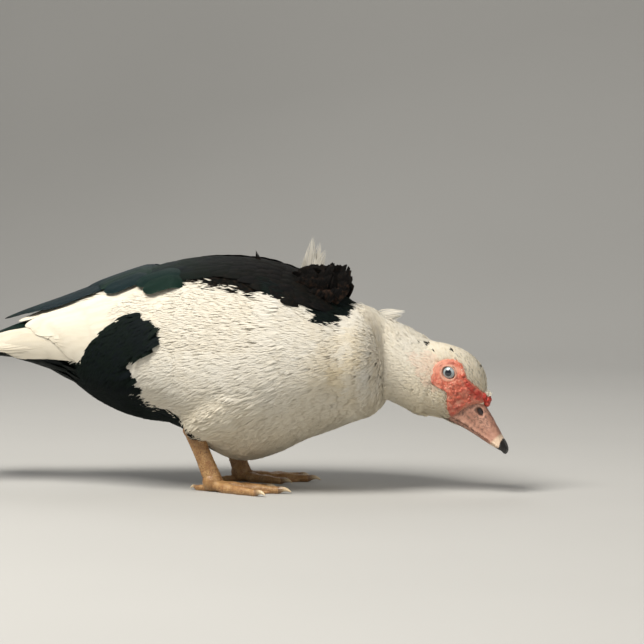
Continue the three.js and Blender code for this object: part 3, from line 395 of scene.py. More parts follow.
def limb_point(row, along, across, degrees, grow):
    """Point of an ellipse that stands across a line: its middle, and from there the half width
    times the angle's sine sideways and the half depth times its cosine upwards."""
    angle = np.radians(degrees)[..., None]
    deep = row[..., 3:4] + grow
    half = row[..., 4:5] + grow
    up = np.cross(along, across)
    return row[..., :3] + across * half * np.sin(angle) + up * deep * np.cos(angle)


def neck_point(run, degrees, grow=0.0):
    """Point on the neck: an ellipse that stands across its curved middle line."""
    run, degrees = np.broadcast_arrays(np.asarray(run, float), degrees)
    along = line_way(NECK_KEYS, run, 0.5)
    across = unit(np.array([0.0, 1.0, 0.0]) - along * along[..., 1:2])
    grow = np.broadcast_to(grow, run.shape)[..., None]
    return limb_point(key_curve(NECK_KEYS, run), along, across, degrees, grow)


def turn_about_z(degrees):
    """Matrix of a turn about Z."""
    angle = math.radians(degrees)
    return np.array([
        [math.cos(angle), -math.sin(angle), 0],
        [math.sin(angle), math.cos(angle), 0],
        [0, 0, 1],
    ])


def head_matrix():
    """Axes of the head's frame: turned about Z, after it is pitched about Y."""
    pitch = math.radians(HEAD_PITCH)
    about_y = np.array([
        [math.cos(pitch), 0, math.sin(pitch)],
        [0, 1, 0],
        [-math.sin(pitch), 0, math.cos(pitch)],
    ])
    return turn_about_z(HEAD_TURN) @ about_y


HEAD_AXES = head_matrix()


def from_head(points):
    """Points of the head's frame in the duck's."""
    return points @ HEAD_AXES.T + HEAD_PLACE


def to_head(points):
    """Points of the duck's frame in the head's."""
    return (points - HEAD_PLACE) @ HEAD_AXES


def head_point(x, degrees, grow=0.0):
    """Point on the head."""
    return from_head(keyed_point(HEAD, x, degrees, grow))


def head_side(x, z):
    """Half width of the head at a place seen from the side: that of its section's ellipse."""
    top, bottom, half, wide = section(HEAD, x)
    level = np.clip((z - wide) / half_height(z - wide, top, bottom, wide), -1, 1)
    return half * np.sqrt(1 - level * level)


def normals_of(surface, u, v, grow=0.0):
    """Outward unit normals of a surface from differences of its places half a step to each side:
    the way along crossed with the way round."""
    along = surface(u + 0.5, v, grow) - surface(u - 0.5, v, grow)
    round_way = surface(u, v + 0.5, grow) - surface(u, v - 0.5, grow)
    return unit(np.cross(along, round_way))


def noise_field(points, size, seed):
    """Smooth noise from −1 to 1: three octaves of five sines along seeded directions, each
    octave about half as large and half as strong as the one before."""
    source = draws(seed)
    total = np.zeros(points.shape[:-1])
    weight = 1.0
    scale = size
    for _ in range(3):
        for _ in range(5):
            way = unit(source.normal(size=3))
            phase = source.uniform(0, 2 * np.pi)
            total = total + weight * np.sin(points @ way * (2 * np.pi / scale) + phase) / 5
        weight *= 0.6
        scale *= 0.47
    return np.clip(total * 1.3, -1, 1)


def cell_field(points, size, seed):
    """Distance to the nearest and to the second nearest of one jittered centre in each cube of a
    given size, in cube sizes. The jitter is the rest of a large sine of the cube's number."""
    grid = points / size
    base = np.floor(grid).astype(int)
    nearest = np.full(points.shape[:-1], 9.0)
    second = np.full(points.shape[:-1], 9.0)
    for step in np.ndindex(3, 3, 3):
        cell = base + np.array(step) - 1
        mixed = cell @ np.array([127.1, 311.7, 74.7]) + seed
        jitter = np.stack([
            np.modf(np.sin(mixed + k * 1.7) * 43758.5453)[0] for k in range(3)
        ], axis=-1)
        away = np.linalg.norm(cell + 0.5 + 0.38 * jitter - grid, axis=-1)
        second = np.minimum(second, np.maximum(nearest, away))
        nearest = np.minimum(nearest, away)
    return nearest, second


# Meshes

def new_object(name, data):
    """A new object of the scene."""
    made = bpy.data.objects.new(name, data)
    bpy.context.scene.collection.objects.link(made)
    return made


def row_frame(points):
    """Points of the duck's frame in the row's, in metres."""
    return (points + SHIFT) * MM


def write_marks(mesh, marks):
    """Stores named values of a mesh's points, which its material reads."""
    for name, values in marks.items():
        layer = mesh.attributes.new(name, "FLOAT", "POINT")
        filled = np.broadcast_to(values, (len(mesh.vertices),)).astype(np.float32)
        layer.data.foreach_set("value", filled)


def make_piece(name, mesh, material, replaced=()):
    """Makes a piece of a mesh: its material, what it rides on, and the nodes that it
    stands for."""
    mesh.materials.clear()
    mesh.materials.append(material)
    piece = new_object(name, mesh)
    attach(piece, "root")
    if replaced:
        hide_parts(*replaced)


class Shell:
    """Arrays of one piece's mesh: points in the duck's frame, triangles, places on the unwrap,
    sharp rims, and marks, which are named values at each point that its material reads."""

    def __init__(self):
        self.points = []
        self.faces = []
        self.patches = []
        self.marks = {}
        self.rims = []
        self.count = 0

    def add(self, points, faces, patch=None, rim=None, **marks):
        """Adds points and triangles, with each point's place on the unwrap, whether it lies on a
        sharp rim, and its marks. A mark that some parts of the piece lack is 0 there."""
        points = points.reshape(-1, 3)
        missing = set(self.marks) - set(marks)
        for name, value in marks.items():
            filled = np.broadcast_to(np.asarray(value, float).reshape(-1), (len(points),))
            earlier = [np.zeros(self.count)] if name not in self.marks and self.count else []
            self.marks.setdefault(name, earlier).append(filled)
        for name in missing:
            self.marks[name].append(np.zeros(len(points)))
        self.points.append(points)
        self.faces.append(faces + self.count)
        self.rims.append(np.zeros(len(points), bool) if rim is None else rim)
        if patch is not None:
            self.patches.append(patch.reshape(-1, 2))
        self.count += len(points)

    def build(self, name, material, replaced=()):
        """Makes the piece, with its places on the unwrap as the map OFBake if it has them."""
        points = row_frame(np.concatenate(self.points))
        faces = np.concatenate(self.faces)
        mesh = bpy.data.meshes.new(name)
        mesh.vertices.add(len(points))
        mesh.vertices.foreach_set("co", points.astype(np.float32).ravel())
        mesh.loops.add(3 * len(faces))
        mesh.loops.foreach_set("vertex_index", faces.astype(np.int32).ravel())
        mesh.polygons.add(len(faces))
        mesh.polygons.foreach_set("loop_start", np.arange(0, 3 * len(faces), 3, dtype=np.int32))
        mesh.polygons.foreach_set("use_smooth", np.ones(len(faces), bool))
        mesh.update(calc_edges=True)
        rims = np.concatenate(self.rims)
        if rims.any():
            ends = np.zeros(2 * len(mesh.edges), np.int32)
            mesh.edges.foreach_get("vertices", ends)
            layer = mesh.attributes.new("sharp_edge", "BOOLEAN", "EDGE")
            layer.data.foreach_set("value", rims[ends.reshape(-1, 2)].all(axis=1))
        write_marks(mesh, {mark: np.concatenate(values) for mark, values in self.marks.items()})
        if self.patches:
            layer = mesh.uv_layers.new(name="OFBake")
            corner = np.concatenate(self.patches)[faces.ravel()]
            layer.uv.foreach_set("vector", corner.astype(np.float32).ravel())
        if mesh.validate():
            raise RuntimeError(f"the mesh of {name} had faults")
        make_piece(name, mesh, material, replaced)


def halves(quads):
    """Two triangles for each quad."""
    return np.concatenate([quads[:, [0, 1, 2]], quads[:, [0, 2, 3]]])


def grid_faces(rows, columns, closed, looped=False):
    """Triangles of a grid of points, with its columns joined into rings if it is closed, and its
    last row to its first if it is looped."""
    r, c = np.meshgrid(
        np.arange(rows if looped else rows - 1), np.arange(columns if closed else columns - 1),
        indexing="ij",
    )
    here = r * columns
    there = (r + 1) % rows * columns
    after = (c + 1) % columns
    return halves(np.stack([here + c, there + c, there + after, here + after], axis=-1).reshape(-1, 4))


def outward(points, faces):
    """Faces turned so that the solid that they close has a positive volume."""
    a, b, c = points[faces[:, 0]], points[faces[:, 1]], points[faces[:, 2]]
    volume = np.sum(a * np.cross(b, c))
    return faces if volume > 0 else faces[:, ::-1]


def add_loft(shell, rings, **marks):
    """Adds a closed loft: its rings, and a pole in the middle of the first and of the last. A
    mark is one value, or one for each ring point."""
    rows, columns = rings.shape[:2]
    ends = np.stack([rings[0].mean(axis=0), rings[-1].mean(axis=0)])
    points = np.concatenate([rings.reshape(-1, 3), ends])
    ring = np.arange(columns)
    after = (ring + 1) % columns
    start = rows * columns
    last = start - columns
    faces = np.concatenate([
        grid_faces(rows, columns, True),
        np.stack([np.full(columns, start), ring, after], axis=-1),
        np.stack([last + ring, np.full(columns, start + 1), last + after], axis=-1),
    ])
    full = {}
    for name, value in marks.items():
        spread = np.broadcast_to(value, (rows, columns))
        full[name] = np.concatenate([spread.ravel(), [spread[0, 0], spread[-1, 0]]])
    shell.add(points, outward(points, faces), **full)


def tube(path, deep, half, sides, up_hint=(0.0, 0.0, 1.0)):
    """Rings of a tube: ellipses that stand across a path of points."""
    along = unit(np.gradient(path, axis=0))
    across = unit(np.cross(up_hint, along))
    up = np.cross(along, across)
    angle = np.linspace(0, 2 * np.pi, sides, endpoint=False)[None, :, None]
    sideways = across[:, None] * half[:, None, None] * np.cos(angle)
    return path[:, None] + sideways + up[:, None] * deep[:, None, None] * np.sin(angle)


def ball(rise, turn):
    """Directions all round a ball's middle, from angles of rise in rows and of turn in columns."""
    x = np.cos(rise) * np.cos(turn)
    return np.stack([x, np.cos(rise) * np.sin(turn), np.sin(rise) + 0 * turn], axis=-1)


def fused(shell, name, voxel, smoothing):
    """One closed mesh from a shell's solids, remeshed in voxels and smoothed."""
    mesh = bpy.data.meshes.new(name)
    points = row_frame(np.concatenate(shell.points))
    mesh.from_pydata(points.tolist(), [], np.concatenate(shell.faces).tolist())
    piece = new_object(name, mesh)
    remesh = piece.modifiers.new("Fuse", "REMESH")
    remesh.mode = "VOXEL"
    remesh.voxel_size = voxel * MM
    remesh.use_smooth_shade = True
    smooth = piece.modifiers.new("Smooth", "SMOOTH")
    smooth.factor = 0.5
    smooth.iterations = smoothing
    graph = bpy.context.evaluated_depsgraph_get()
    result = bpy.data.meshes.new_from_object(piece.evaluated_get(graph))
    result.name = name
    bpy.data.objects.remove(piece)
    bpy.data.meshes.remove(mesh)
    return result


def vectors_of(mesh, name):
    """One vector for each of a mesh's points, such as its place or its normal."""
    flat = np.zeros(len(mesh.vertices) * 3, np.float32)
    mesh.vertices.foreach_get(name, flat)
    return flat.reshape(-1, 3).astype(float)


def mesh_points(mesh):
    """A mesh's points in the duck's frame."""
    return vectors_of(mesh, "co") / MM - SHIFT


# Materials

class Wire:
    """One output of a material's node tree, with the arithmetic that its patterns use."""

    def __init__(self, paint, socket):
        self.paint = paint
        self.socket = socket

    def _math(self, operation, first, second):
        """Adds a node that works out one step."""
        return self.paint.node("ShaderNodeMath", {"operation": operation}, {0: first, 1: second})

    def __add__(self, other):
        return self._math("ADD", self, other)

    def __radd__(self, other):
        return self._math("ADD", other, self)

    def __sub__(self, other):
        return self._math("SUBTRACT", self, other)

    def __rsub__(self, other):
        return self._math("SUBTRACT", other, self)

    def __mul__(self, other):
        return self._math("MULTIPLY", self, other)

    def __rmul__(self, other):
        return self._math("MULTIPLY", other, self)

    def within(self, low, high):
        """0 below low and 1 above high, with a smooth change between."""
        values = {"Value": self, "From Min": low, "From Max": high, "To Min": 0.0, "To Max": 1.0}
        return self.paint.node("ShaderNodeMapRange", {"interpolation_type": "SMOOTHSTEP"}, values)


class Paint:
    """A material under construction: its tree, and short ways to add what the patterns need."""

    def __init__(self, name):
        self.material = bpy.data.materials.new(name)
        self.material.use_nodes = True
        self.tree = self.material.node_tree
        self.shader = self.tree.nodes["Principled BSDF"]

    def node(self, kind, settings, values, output=0):
        """Adds a node: settings first, then the values or wires of its sockets."""
        node = self.tree.nodes.new(kind)
        for name, value in settings.items():
            setattr(node, name, value)
        for name, value in values.items():
            self._feed(node.inputs[name], value)
        return Wire(self, node.outputs[output])

    def _feed(self, socket, value):
        """Joins a wire to a socket, or sets the socket to a value, a colour with full cover."""
        if isinstance(value, Wire):
            self.tree.links.new(value.socket, socket)
        elif np.ndim(value) == 1 and len(socket.default_value) == 4:
            socket.default_value = (*value, 1.0)
        else:
            socket.default_value = value

    def mark(self, name):
        """Value of one of the mesh's own marks."""
        return self.node("ShaderNodeAttribute", {"attribute_name": name}, {}, "Fac")

    def noise(self, size, detail=3.0, rough=0.55):
        """Soft noise with features of a given size in millimetres, on Object coordinates."""
        place = self.node("ShaderNodeTexCoord", {}, {}, "Object")
        values = {"Vector": place, "Scale": 1 / (size * MM), "Detail": detail, "Roughness": rough}
        return self.node("ShaderNodeTexNoise", {}, values, "Fac")

    def mix(self, factor, first, second):
        """Colour between two colours."""
        return self.node("ShaderNodeMix", {"data_type": "RGBA"}, {0: factor, 6: first, 7: second}, 2)

    def finish(self, colour, roughness, others, height=None, depth=0.0):
        """Feeds the shader: colour, roughness, its other inputs, and bump of a height in a depth
        of millimetres."""
        inputs = {"Base Color": colour, "Roughness": roughness, **others}
        if height is not None:
            values = {"Height": height, "Strength": 1.0, "Distance": depth * MM}
            inputs["Normal"] = self.node("ShaderNodeBump", {}, values)
        for name, value in inputs.items():
            self._feed(self.shader.inputs[name], value)
        return self.material


def painted(name):
    """Turns a recipe into a function that paints its material once, and from then on finds it."""
    def once(recipe):
        def material(colours):
            return bpy.data.materials.get(name) or recipe(Paint(name), colours)
        return material
    return once


def linear(colour):
    """A screen colour as light: each channel by the usual curve of a screen."""
    return tuple(c / 12.92 if c <= 0.04045 else ((c + 0.055) / 1.055) ** 2.4 for c in colour)


@painted("Plumage")
def plumage_material(paint, look):
    """Plumage: white feathers with a cream that is partly their own tinge and partly painted shade, or
    with pink skin that shows through, and dark ones with a green and blue gloss or a brown that is partly
    wear and partly painted highlight, picked by the mark dark. The barbs are fine ridges that run out from
    the shaft."""
    tone = paint.mark("tone")
    dark = paint.mark("dark")
    gloss = paint.mark("gloss")
    white = paint.mix(paint.mark("cream"), look.white, look.cream)
    white = paint.mix(tone * 0.16 + (paint.noise(26.0) - 0.5) * 0.3, white, look.cream)
    white = paint.mix(paint.mark("pink") * 0.6, white, look.pink)
    # Brown: partly worn feathers, partly painted highlight where light shines through the ruffled and
    # curled feathers.
    worn_and_lit = paint.mark("brown") * paint.noise(3.5).within(0.45, 0.72) * 0.5
    sheen = paint.mix(tone.within(0.35, 0.9), look.green, look.blue)
    black = paint.mix(gloss, paint.mix(worn_and_lit, look.black, look.brown), sheen)
    barbs = paint.node("ShaderNodeMath", {"operation": "SINE"}, {0: paint.mark("barb") * BARB_WAVE})
    others = {
        "Metallic": dark * gloss * 0.15,
        "Specular IOR Level": 0.05,
        "Subsurface Weight": 0.2,
        "Subsurface Scale": 0.003,
        "Subsurface Radius": (1.0, 0.9, 0.8),
    }
    roughness = 0.86 - dark * (0.2 + gloss * 0.22)
    return paint.finish(paint.mix(dark, white, black), roughness, others, barbs, 0.05)


# Markings and the skin's own unwrap

def body_angle(points):
    """Station along X and angle from the top of points near the body, from the section's
    ellipses: atan2 of the sideways share and the upward share."""
    x = points[..., 0]
    top, bottom, half, wide = section(BODY, x)
    level = points[..., 2] - wide
    reach = half_height(level, top, bottom, wide)
    return x, np.degrees(np.arctan2(points[..., 1] / half, level / reach))


def rear_places(points):
    """Whether places root black feathers of the rear flank, the vent and the rump: behind the
    rear flank's front edge, and below its upper edge or behind that edge's end."""
    x, z = points[..., 0], points[..., 2]
    ragged = 1.6 * noise_field(points, 15.0, 11)
    front = np.interp(z, REAR_EDGE[:, 0], REAR_EDGE[:, 1])
    top = np.interp(x, REAR_TOP[:, 0], REAR_TOP[:, 1])
    return (x < front + ragged) & ((z < top + 0.25 * ragged) | (x < REAR_TOP[0, 0]))


def back_edge(x):
    """Angle from the top that the black of the back reaches."""
    return np.interp(x, BACK_EDGE[:, 0], BACK_EDGE[:, 1])


def dark_places(points):
    """1 where the plumage is black: the back between its edges, and the rear."""
    x, angle = body_angle(points)
    ragged = 3.2 * noise_field(points, 17.0, 11)
    on_back = (np.abs(angle) < back_edge(x) + 0.5 * ragged) & (x < BACK_FRONT + ragged)
    return (on_back | rear_places(points)).astype(float)


def cream_and_shade_places(points):
    """How creamy the white plumage is: partly the breast's own tinge and partly painted shade, most low on
    the breast and in the crease where the neck leaves it.
    """
    # Painted shade: the cream is strongest low on the body and in the neck's crease, where the shade
    # falls; the rest is the breast's own tinge.
    low = 1 - ease(48, 120, points[..., 2])
    crease = np.exp(-((points[..., 0] - 108) / 22) ** 2 - ((points[..., 2] - 112) / 30) ** 2)
    patchy = 0.5 + 0.5 * noise_field(points, 34.0, 12)
    return np.clip(0.6 * low + 1.1 * crease * patchy + 0.12 * patchy, 0, 1)


def unwrap(start, width, share, degrees):
    """Place on the unwrap: in a strip, by the share of its length, and by the way round."""
    return np.stack([start + width * share, 0.03 + 0.93 * (degrees + 180) / 360], axis=-1)


def body_patch(station, degrees):
    """Place of a body root on the unwrap."""
    return unwrap(0.02, 0.56, (station + 290) / 450, degrees)


def neck_patch(run, degrees):
    """Place of a neck root on the unwrap."""
    return unwrap(0.6, 0.18, run / NECK_LENGTH, degrees)


def head_patch(x, degrees):
    """Place of a head root on the unwrap."""
    return unwrap(0.8, 0.18, (x + 46) / 80, degrees)


# Skin

SKIN = {}


def thigh_keys(leg):
    """Keys of a leg's thigh: number, middle line, half depth and half width, down to the hock."""
    keys = [(x, leg["side"] * y, z, deep, half) for x, y, z, deep, half in THIGH]
    x, y, z = leg["hock"]
    keys.append((x + 2, y, z - 1, THIGH_END, THIGH_END))
    return np.column_stack([np.arange(len(keys)), np.array(keys, float)])


def skin_shell():
    """Body, neck, head, thighs and tail stump as overlapping closed lofts inside the coat."""
    shell = Shell()
    breast = BREAST_X + BREAST_ROUND * np.linspace(0.05, 1.5, 20)
    stations = np.concatenate([np.linspace(BODY[0, 0], BREAST_X, 60), breast])[:, None]
    add_loft(shell, body_point(stations, np.arange(0, 360, 6.0)[None], -BODY_COAT))
    turn = np.arange(0, 360, 8.0)[None]
    run = np.linspace(0, NECK_LENGTH, 40)[:, None]
    add_loft(shell, neck_point(run, turn, neck_flare(run, turn) - NECK_COAT))
    x = np.linspace(HEAD[0, 0], HEAD[-1, 0], 46)[:, None]
    add_loft(shell, head_point(x, turn, -HEAD_COAT))
    for leg in LEGS.values():
        line = key_curve(thigh_keys(leg), np.linspace(0, len(THIGH), 24))
        deep, half = line[:, 3] - THIGH_COAT, line[:, 4] - THIGH_COAT
        add_loft(shell, tube(line[:, :3], deep, half, 28, (1, 0, 0)))
    add_loft(shell, tube(TAIL_STUMP[:, :3], TAIL_STUMP[:, 3], TAIL_STUMP[:, 4], 28))
    return shell


def thigh_point(leg, run, degrees, grow=0.0):
    """Point on a thigh: an ellipse across its line, at an angle from the front."""
    run, degrees = np.broadcast_arrays(np.asarray(run, float), degrees)
    keys = thigh_keys(leg)
    along = line_way(keys, run, 0.05)
    across = unit(np.cross(np.array([1.0, 0.0, 0.0]), along))
    return limb_point(key_curve(keys, run), along, across, degrees, grow)


def build_skin(look):
    """Fuses the skin into one closed surface and gives it the coat's markings."""
    mesh = fused(skin_shell(), "skin", 2.0, 8)
    points = mesh_points(mesh)
    write_marks(mesh, {
        "dark": dark_places(points) * (points[:, 0] < 110),
        "cream": 0.6 + 0.4 * cream_and_shade_places(points),
        "tone": 0.5,
    })
    corners = [tuple(p.vertices) for p in mesh.polygons]
    SKIN["tree"] = BVHTree.FromPolygons([Vector(p) for p in points], corners)
    pairs = [f"{part}_{side}" for part in ("scapulars", "wing", "thigh") for side in SIDES]
    replaced = ("torso", "rump", "tail", "mantle", "neck", "head", *pairs)
    make_piece("skin", mesh, plumage_material(look), replaced)


def on_skin(points):
    """Nearest places of the skin to an array of points, and the skin's normals there."""
    tree = SKIN["tree"]
    hits = [tree.find_nearest(point) for point in points.tolist()]
    return np.array([hit[0][:] for hit in hits]), np.array([hit[1][:] for hit in hits])


# Feathers

class Form:
    """Shape that a group of feathers shares: where its rings stand along it, how wide each is,
    how many points cross it, how much it arches, how deep its root is sunk and how far it rises
    over its neighbours. Its steps are its rings with the poles at both ends."""

    def __init__(self, rings, widths, points=3, arch=0.3, sink=1.0, rise=1.0):
        self.rings = np.array(rings, float)
        self.widths = np.array(widths, float)
        self.points = points
        self.arch = arch
        self.sink = sink
        self.rise = rise
        self.steps = np.concatenate([[0.0], self.rings, [1.0]])


def vane_faces(rings, points):
    """Triangles of one closed vane: an arched top, a flat underside, and a pole at each end."""
    k = np.arange(points - 1)
    root = rings * points + 0 * k
    last = root - points
    under = np.arange(rings - 1)[:, None] * points + np.array([0, points - 1])
    under = np.column_stack([under, under[:, ::-1] + points])
    return np.concatenate([
        grid_faces(rings, points, False),
        halves(under),
        np.stack([root, k, k + 1], axis=-1),
        np.stack([last + k, root + 1, last + k + 1], axis=-1),
        [(root[0], points - 1, 0), (last[0], root[0] - 1, root[0] + 1)],
    ])


def add_vanes(shell, line, up, half, form, patch, edges=None, **marks):
    """Adds vanes along lines of points (feather, step, xyz) whose first and last are the poles:
    each ring spreads sideways by half width times ring width times a share from −1 to 1, and
    arches by the form's arch times one less the square of that share. Edges scale the widths of
    both sides, ring by ring."""
    count = len(line)
    half = np.asarray(half, float).reshape(-1, 1)
    slope = unit(np.gradient(line, axis=1))
    side = unit(np.cross(slope, up))
    lifted = np.cross(side, slope)
    u = np.linspace(-1, 1, form.points)[None, None, :]
    spread = half[..., None] * form.widths[None, :, None]
    if edges is not None:
        spread = spread * np.where(u < 0, edges[:, :, :1], edges[:, :, 1:])
    body = (
        line[:, 1:-1, None]
        + side[:, 1:-1, None] * (u * spread)[..., None]
        + lifted[:, 1:-1, None] * (form.arch * spread * (1 - u * u))[..., None]
    )
    points = np.concatenate([body.reshape(count, -1, 3), line[:, :1], line[:, -1:]], axis=1)
    each = points.shape[1]
    faces = vane_faces(len(form.rings), form.points)
    faces = outward(points[0] - points[0].mean(axis=0), faces)
    faces = (faces[None] + (np.arange(count) * each)[:, None, None]).reshape(-1, 3)
    shape = (len(form.rings), form.points)
    along = np.append(np.broadcast_to(form.rings[:, None], shape), [0.0, 1.0])[None]
    across = np.append(np.broadcast_to(u[0], shape), [0.0, 0.0])[None]
    patches = patch[:, None] + np.stack([0.5 + 0.5 * across, along], axis=-1) * PATCH
    length = np.linalg.norm(line[:, -1] - line[:, 0], axis=-1)[:, None]
    barb = along * length + 0.8 * np.abs(across) * half
    rim = (np.abs(across[0]) > 0.99) | (np.arange(each) >= each - 2)
    full = {
        name: np.broadcast_to(np.reshape(value, (-1, 1)), (count, each))
        for name, value in marks.items()
    }
    shell.add(points, faces, patches, rim=np.tile(rim, count), barb=barb, **full)


def arcs(start, knee, end, form):
    """Lines of points along quadratic curves at a form's steps, which leave the start towards
    the knee and reach the end from it."""
    t = form.steps[None, :, None]
    return (1 - t) ** 2 * start[:, None] + 2 * t * (1 - t) * knee[:, None] + t**2 * end[:, None]


def bent_lines(root, out, lay, tip, form, rise):
    """Middle lines of feathers: curves from under the skin, over a rise, to the tip. In a hollow,
    where the tip stands above the root's tangent plane, the rise grows by half of that."""
    length = np.linalg.norm(tip - root, axis=-1, keepdims=True)
    hollow = np.maximum(dot(tip - root, out) - rise, 0)
    knee = root + lay * length * 0.5 + out * (rise + 0.5 * hollow)
    return arcs(root - out * form.sink, knee, tip, form)


STRAND = Form([0.2, 0.52, 0.8], [0.75, 1.0, 0.55], 3, 0.25, 1.2, 1.4)
SMOOTH = Form([0.1, 0.3, 0.55, 0.78, 0.93], [0.4, 0.78, 1.0, 0.92, 0.6], 5, 0.2, 1.0, 1.6)
TUFT = Form([0.3, 0.72], [1.0, 0.75], 3, 0.4, 0.5, 0.5)


def lie(normal, way, swing, seed):
    """Directions in which feathers lie: the way of the coat laid in the skin's tangent plane,
    each turned a little round the normal."""
    flat = unit(way - normal * dot(way, normal))
    return turned(flat, normal, draws(seed).normal(0, swing, len(flat)))


def grow_coat(shell, places, patch, way, length, half, coat, form, seed, marks, swing=6.0,
              strands=1, fan=5.0, lift=0.4, steep=0.55):
    """Grows one feather at each place: its root on the skin, its tip on the coat's surface one
    length further along the lie, so that it follows hollows and swellings alike. A soft feather
    is a fan of strands: each leaves the shaft's line by a step of the fan's angle, the outer
    ones shorter, from a root moved aside by its share of the half width."""
    source = draws(seed)
    root, out = on_skin(places)
    lay = lie(out, np.broadcast_to(way, out.shape), swing, seed + 1)
    count = len(root)
    coat = np.reshape(coat, (-1, 1))
    long = np.reshape(length, (-1, 1)) * source.uniform(0.85, 1.15, (count, 1))
    below, tip_out = on_skin(root + lay * long)
    tip = below + tip_out * (coat + lift * source.uniform(-1.0, 1.0, (count, 1)))
    rise = coat * np.reshape(steep, (-1, 1)) + form.rise * source.uniform(0.6, 1.2, (count, 1))
    wide = np.broadcast_to(half, (count,)) * source.uniform(0.85, 1.15, count)
    tone = source.uniform(0, 1, count)

    def each(values):
        """One row for each strand of each feather."""
        return np.repeat(values, strands, axis=0)

    if strands > 1:
        k = np.arange(strands) - (strands - 1) / 2
        share = np.broadcast_to(k / k.max(), (count, strands))
        turn = fan * k + source.normal(0, 0.4 * fan, (count, strands))
        moved = each(np.cross(out, lay)) * (share * wide[:, None] * 0.45).reshape(-1, 1)
        shorter = (1 - 0.2 * share**2) * source.uniform(0.82, 1.08, share.shape)
        step = moved - each(lay * long)
        lay = turned(each(lay), each(out), turn.ravel())
        step = lay * (each(long) * shorter.reshape(-1, 1)) + step
        out, tip_out, rise, patch = each(out), each(tip_out), each(rise), each(patch)
        step -= tip_out * dot(step, tip_out)
        sunk = (0.35 * np.abs(share) + 0.25 * source.uniform(-1, 1, share.shape)).reshape(-1, 1)
        tip = each(tip) + step - tip_out * sunk
        root = each(root) + moved
        marks = {name: each(np.broadcast_to(value, (count,))) for name, value in marks.items()}
        tone = each(tone) * 0.6 + 0.4 * source.uniform(0, 1, count * strands)
        wide = each(wide) * 2.7 / strands
    line = bent_lines(root, out, lay, tip, form, rise)
    t = form.steps[None, :, None]
    up = unit(out[:, None] * (1 - t) + tip_out[:, None] * t)
    add_vanes(shell, line, up, wide, form, patch, tone=tone, **marks)


def staggered(surface, start, end, along, across, seed):
    """Places in staggered rows on a surface: rows a step apart, in each the places equally far
    apart along the ring, every second row moved on by half a place, all jittered a little."""
    source = draws(seed)
    turn = np.linspace(-180, 180, 241)
    fine = np.linspace(start, end, 240)
    sides = [surface(fine, np.full(len(fine), angle)) for angle in (-150.0, -90, -30, 30, 90, 150)]
    arc = np.mean([arc_lengths(side) for side in sides], axis=0)
    rows = max(int(round(arc[-1] / along)), 1)
    pace = min((end - start) / arc[-1] * along, along)
    stations = []
    angles = []
    for row in range(rows + 1):
        u = np.interp(arc[-1] * row / rows, arc, fine)
        run = arc_lengths(surface(np.full(len(turn), u), turn))
        count = max(int(run[-1] / across), 3)
        moved = 0.5 * (row % 2) + source.uniform(-0.3, 0.3, count)
        places = (np.arange(count) + moved) / count * run[-1]
        angles.append(np.interp(places % run[-1], run, turn))
        stations.append(u + source.uniform(-0.3, 0.3, count) * pace)
    return np.concatenate(stations), np.concatenate(angles)


def in_ellipse(across, level, half, reach):
    """Whether places lie inside a section's half ellipse."""
    return (across / np.maximum(half, 1e-3)) ** 2 + (level / np.maximum(reach, 1e-3)) ** 2 < 1


def inside_neck(points, margin):
    """Whether points lie inside the neck, drawn in by a margin."""
    keys = key_curve(NECK_KEYS, np.linspace(0, NECK_LENGTH, 60))
    away = np.linalg.norm(points[:, None] - keys[None, :, :3], axis=-1)
    near = np.argmin(away, axis=1)
    radius = np.minimum(keys[near, 3], keys[near, 4]) - margin
    return away[np.arange(len(points)), near] < radius


def inside_body(points, margin):
    """Whether points lie inside the body, drawn in by a margin."""
    x = points[:, 0]
    end = BREAST_DEPTH - margin
    shrink = np.maximum(1 - np.clip((x - BREAST_X) / end, 0, 1) ** 2, 0) ** BREAST_POWER
    top, bottom, half, wide = section(BODY, np.minimum(x, BREAST_X))
    level = points[:, 2] - np.where(x > BREAST_X, BREAST_AXIS, wide)
    reach = half_height(level, top, bottom, wide) * shrink - margin
    found = in_ellipse(points[:, 1], level, half * shrink - margin, reach)
    return (x < BREAST_X + end) & found


def inside_thigh(points, margin):
    """Whether points lie inside either thigh, drawn in by a margin."""
    found = np.zeros(len(points), bool)
    for leg in LEGS.values():
        keys = key_curve(thigh_keys(leg), np.linspace(0, len(THIGH), 40))
        away = np.linalg.norm(points[:, None] - keys[None, :, :3], axis=-1)
        found |= (away < keys[None, :, 4] - margin).any(axis=1)
    return found


def inside_head(points, margin):
    """Whether points lie inside the head, drawn in by a margin."""
    x, across, z = to_head(points).T
    top, bottom, half, wide = section(HEAD, x)
    level = z - wide
    reach = half_height(level, top, bottom, wide) - margin
    found = in_ellipse(across, level, half - margin, reach)
    return (x > HEAD[0, 0] + margin) & (x < HEAD[-1, 0]) & found


def under_wing(station, angle):
    """Whether a place of the body lies under a closed wing or the scapulars."""
    plate = (np.abs(angle) > 30) & (np.abs(angle) < WING_LOW_EDGE - 14)
    return plate & (station > -128) & (station < WING_FRONT - 6)


def body_way(station, angle, rear, places):
    """Lie of the body's coat: back, and the lower on the body the more downward; on the rear
    flank down along its upper edge, and on the breast's front away from the neck's axis."""
    start = neck_point(np.zeros(2), np.array([0.0, 180.0])).mean(axis=0)
    away = places - start
    away[:, 0] = 0
    away = unit(away) * (0.9 * ease(70, 96, station))[:, None]
    down = -0.12 - 0.34 * ease(60, 140, np.abs(angle)) * ease(120, -20, station)
    down = np.where(rear > 0.5, -0.62 * ease(150, 100, np.abs(angle)) - 0.05, down)
    return np.stack([-np.ones_like(station), 0 * station, down], axis=-1) + away


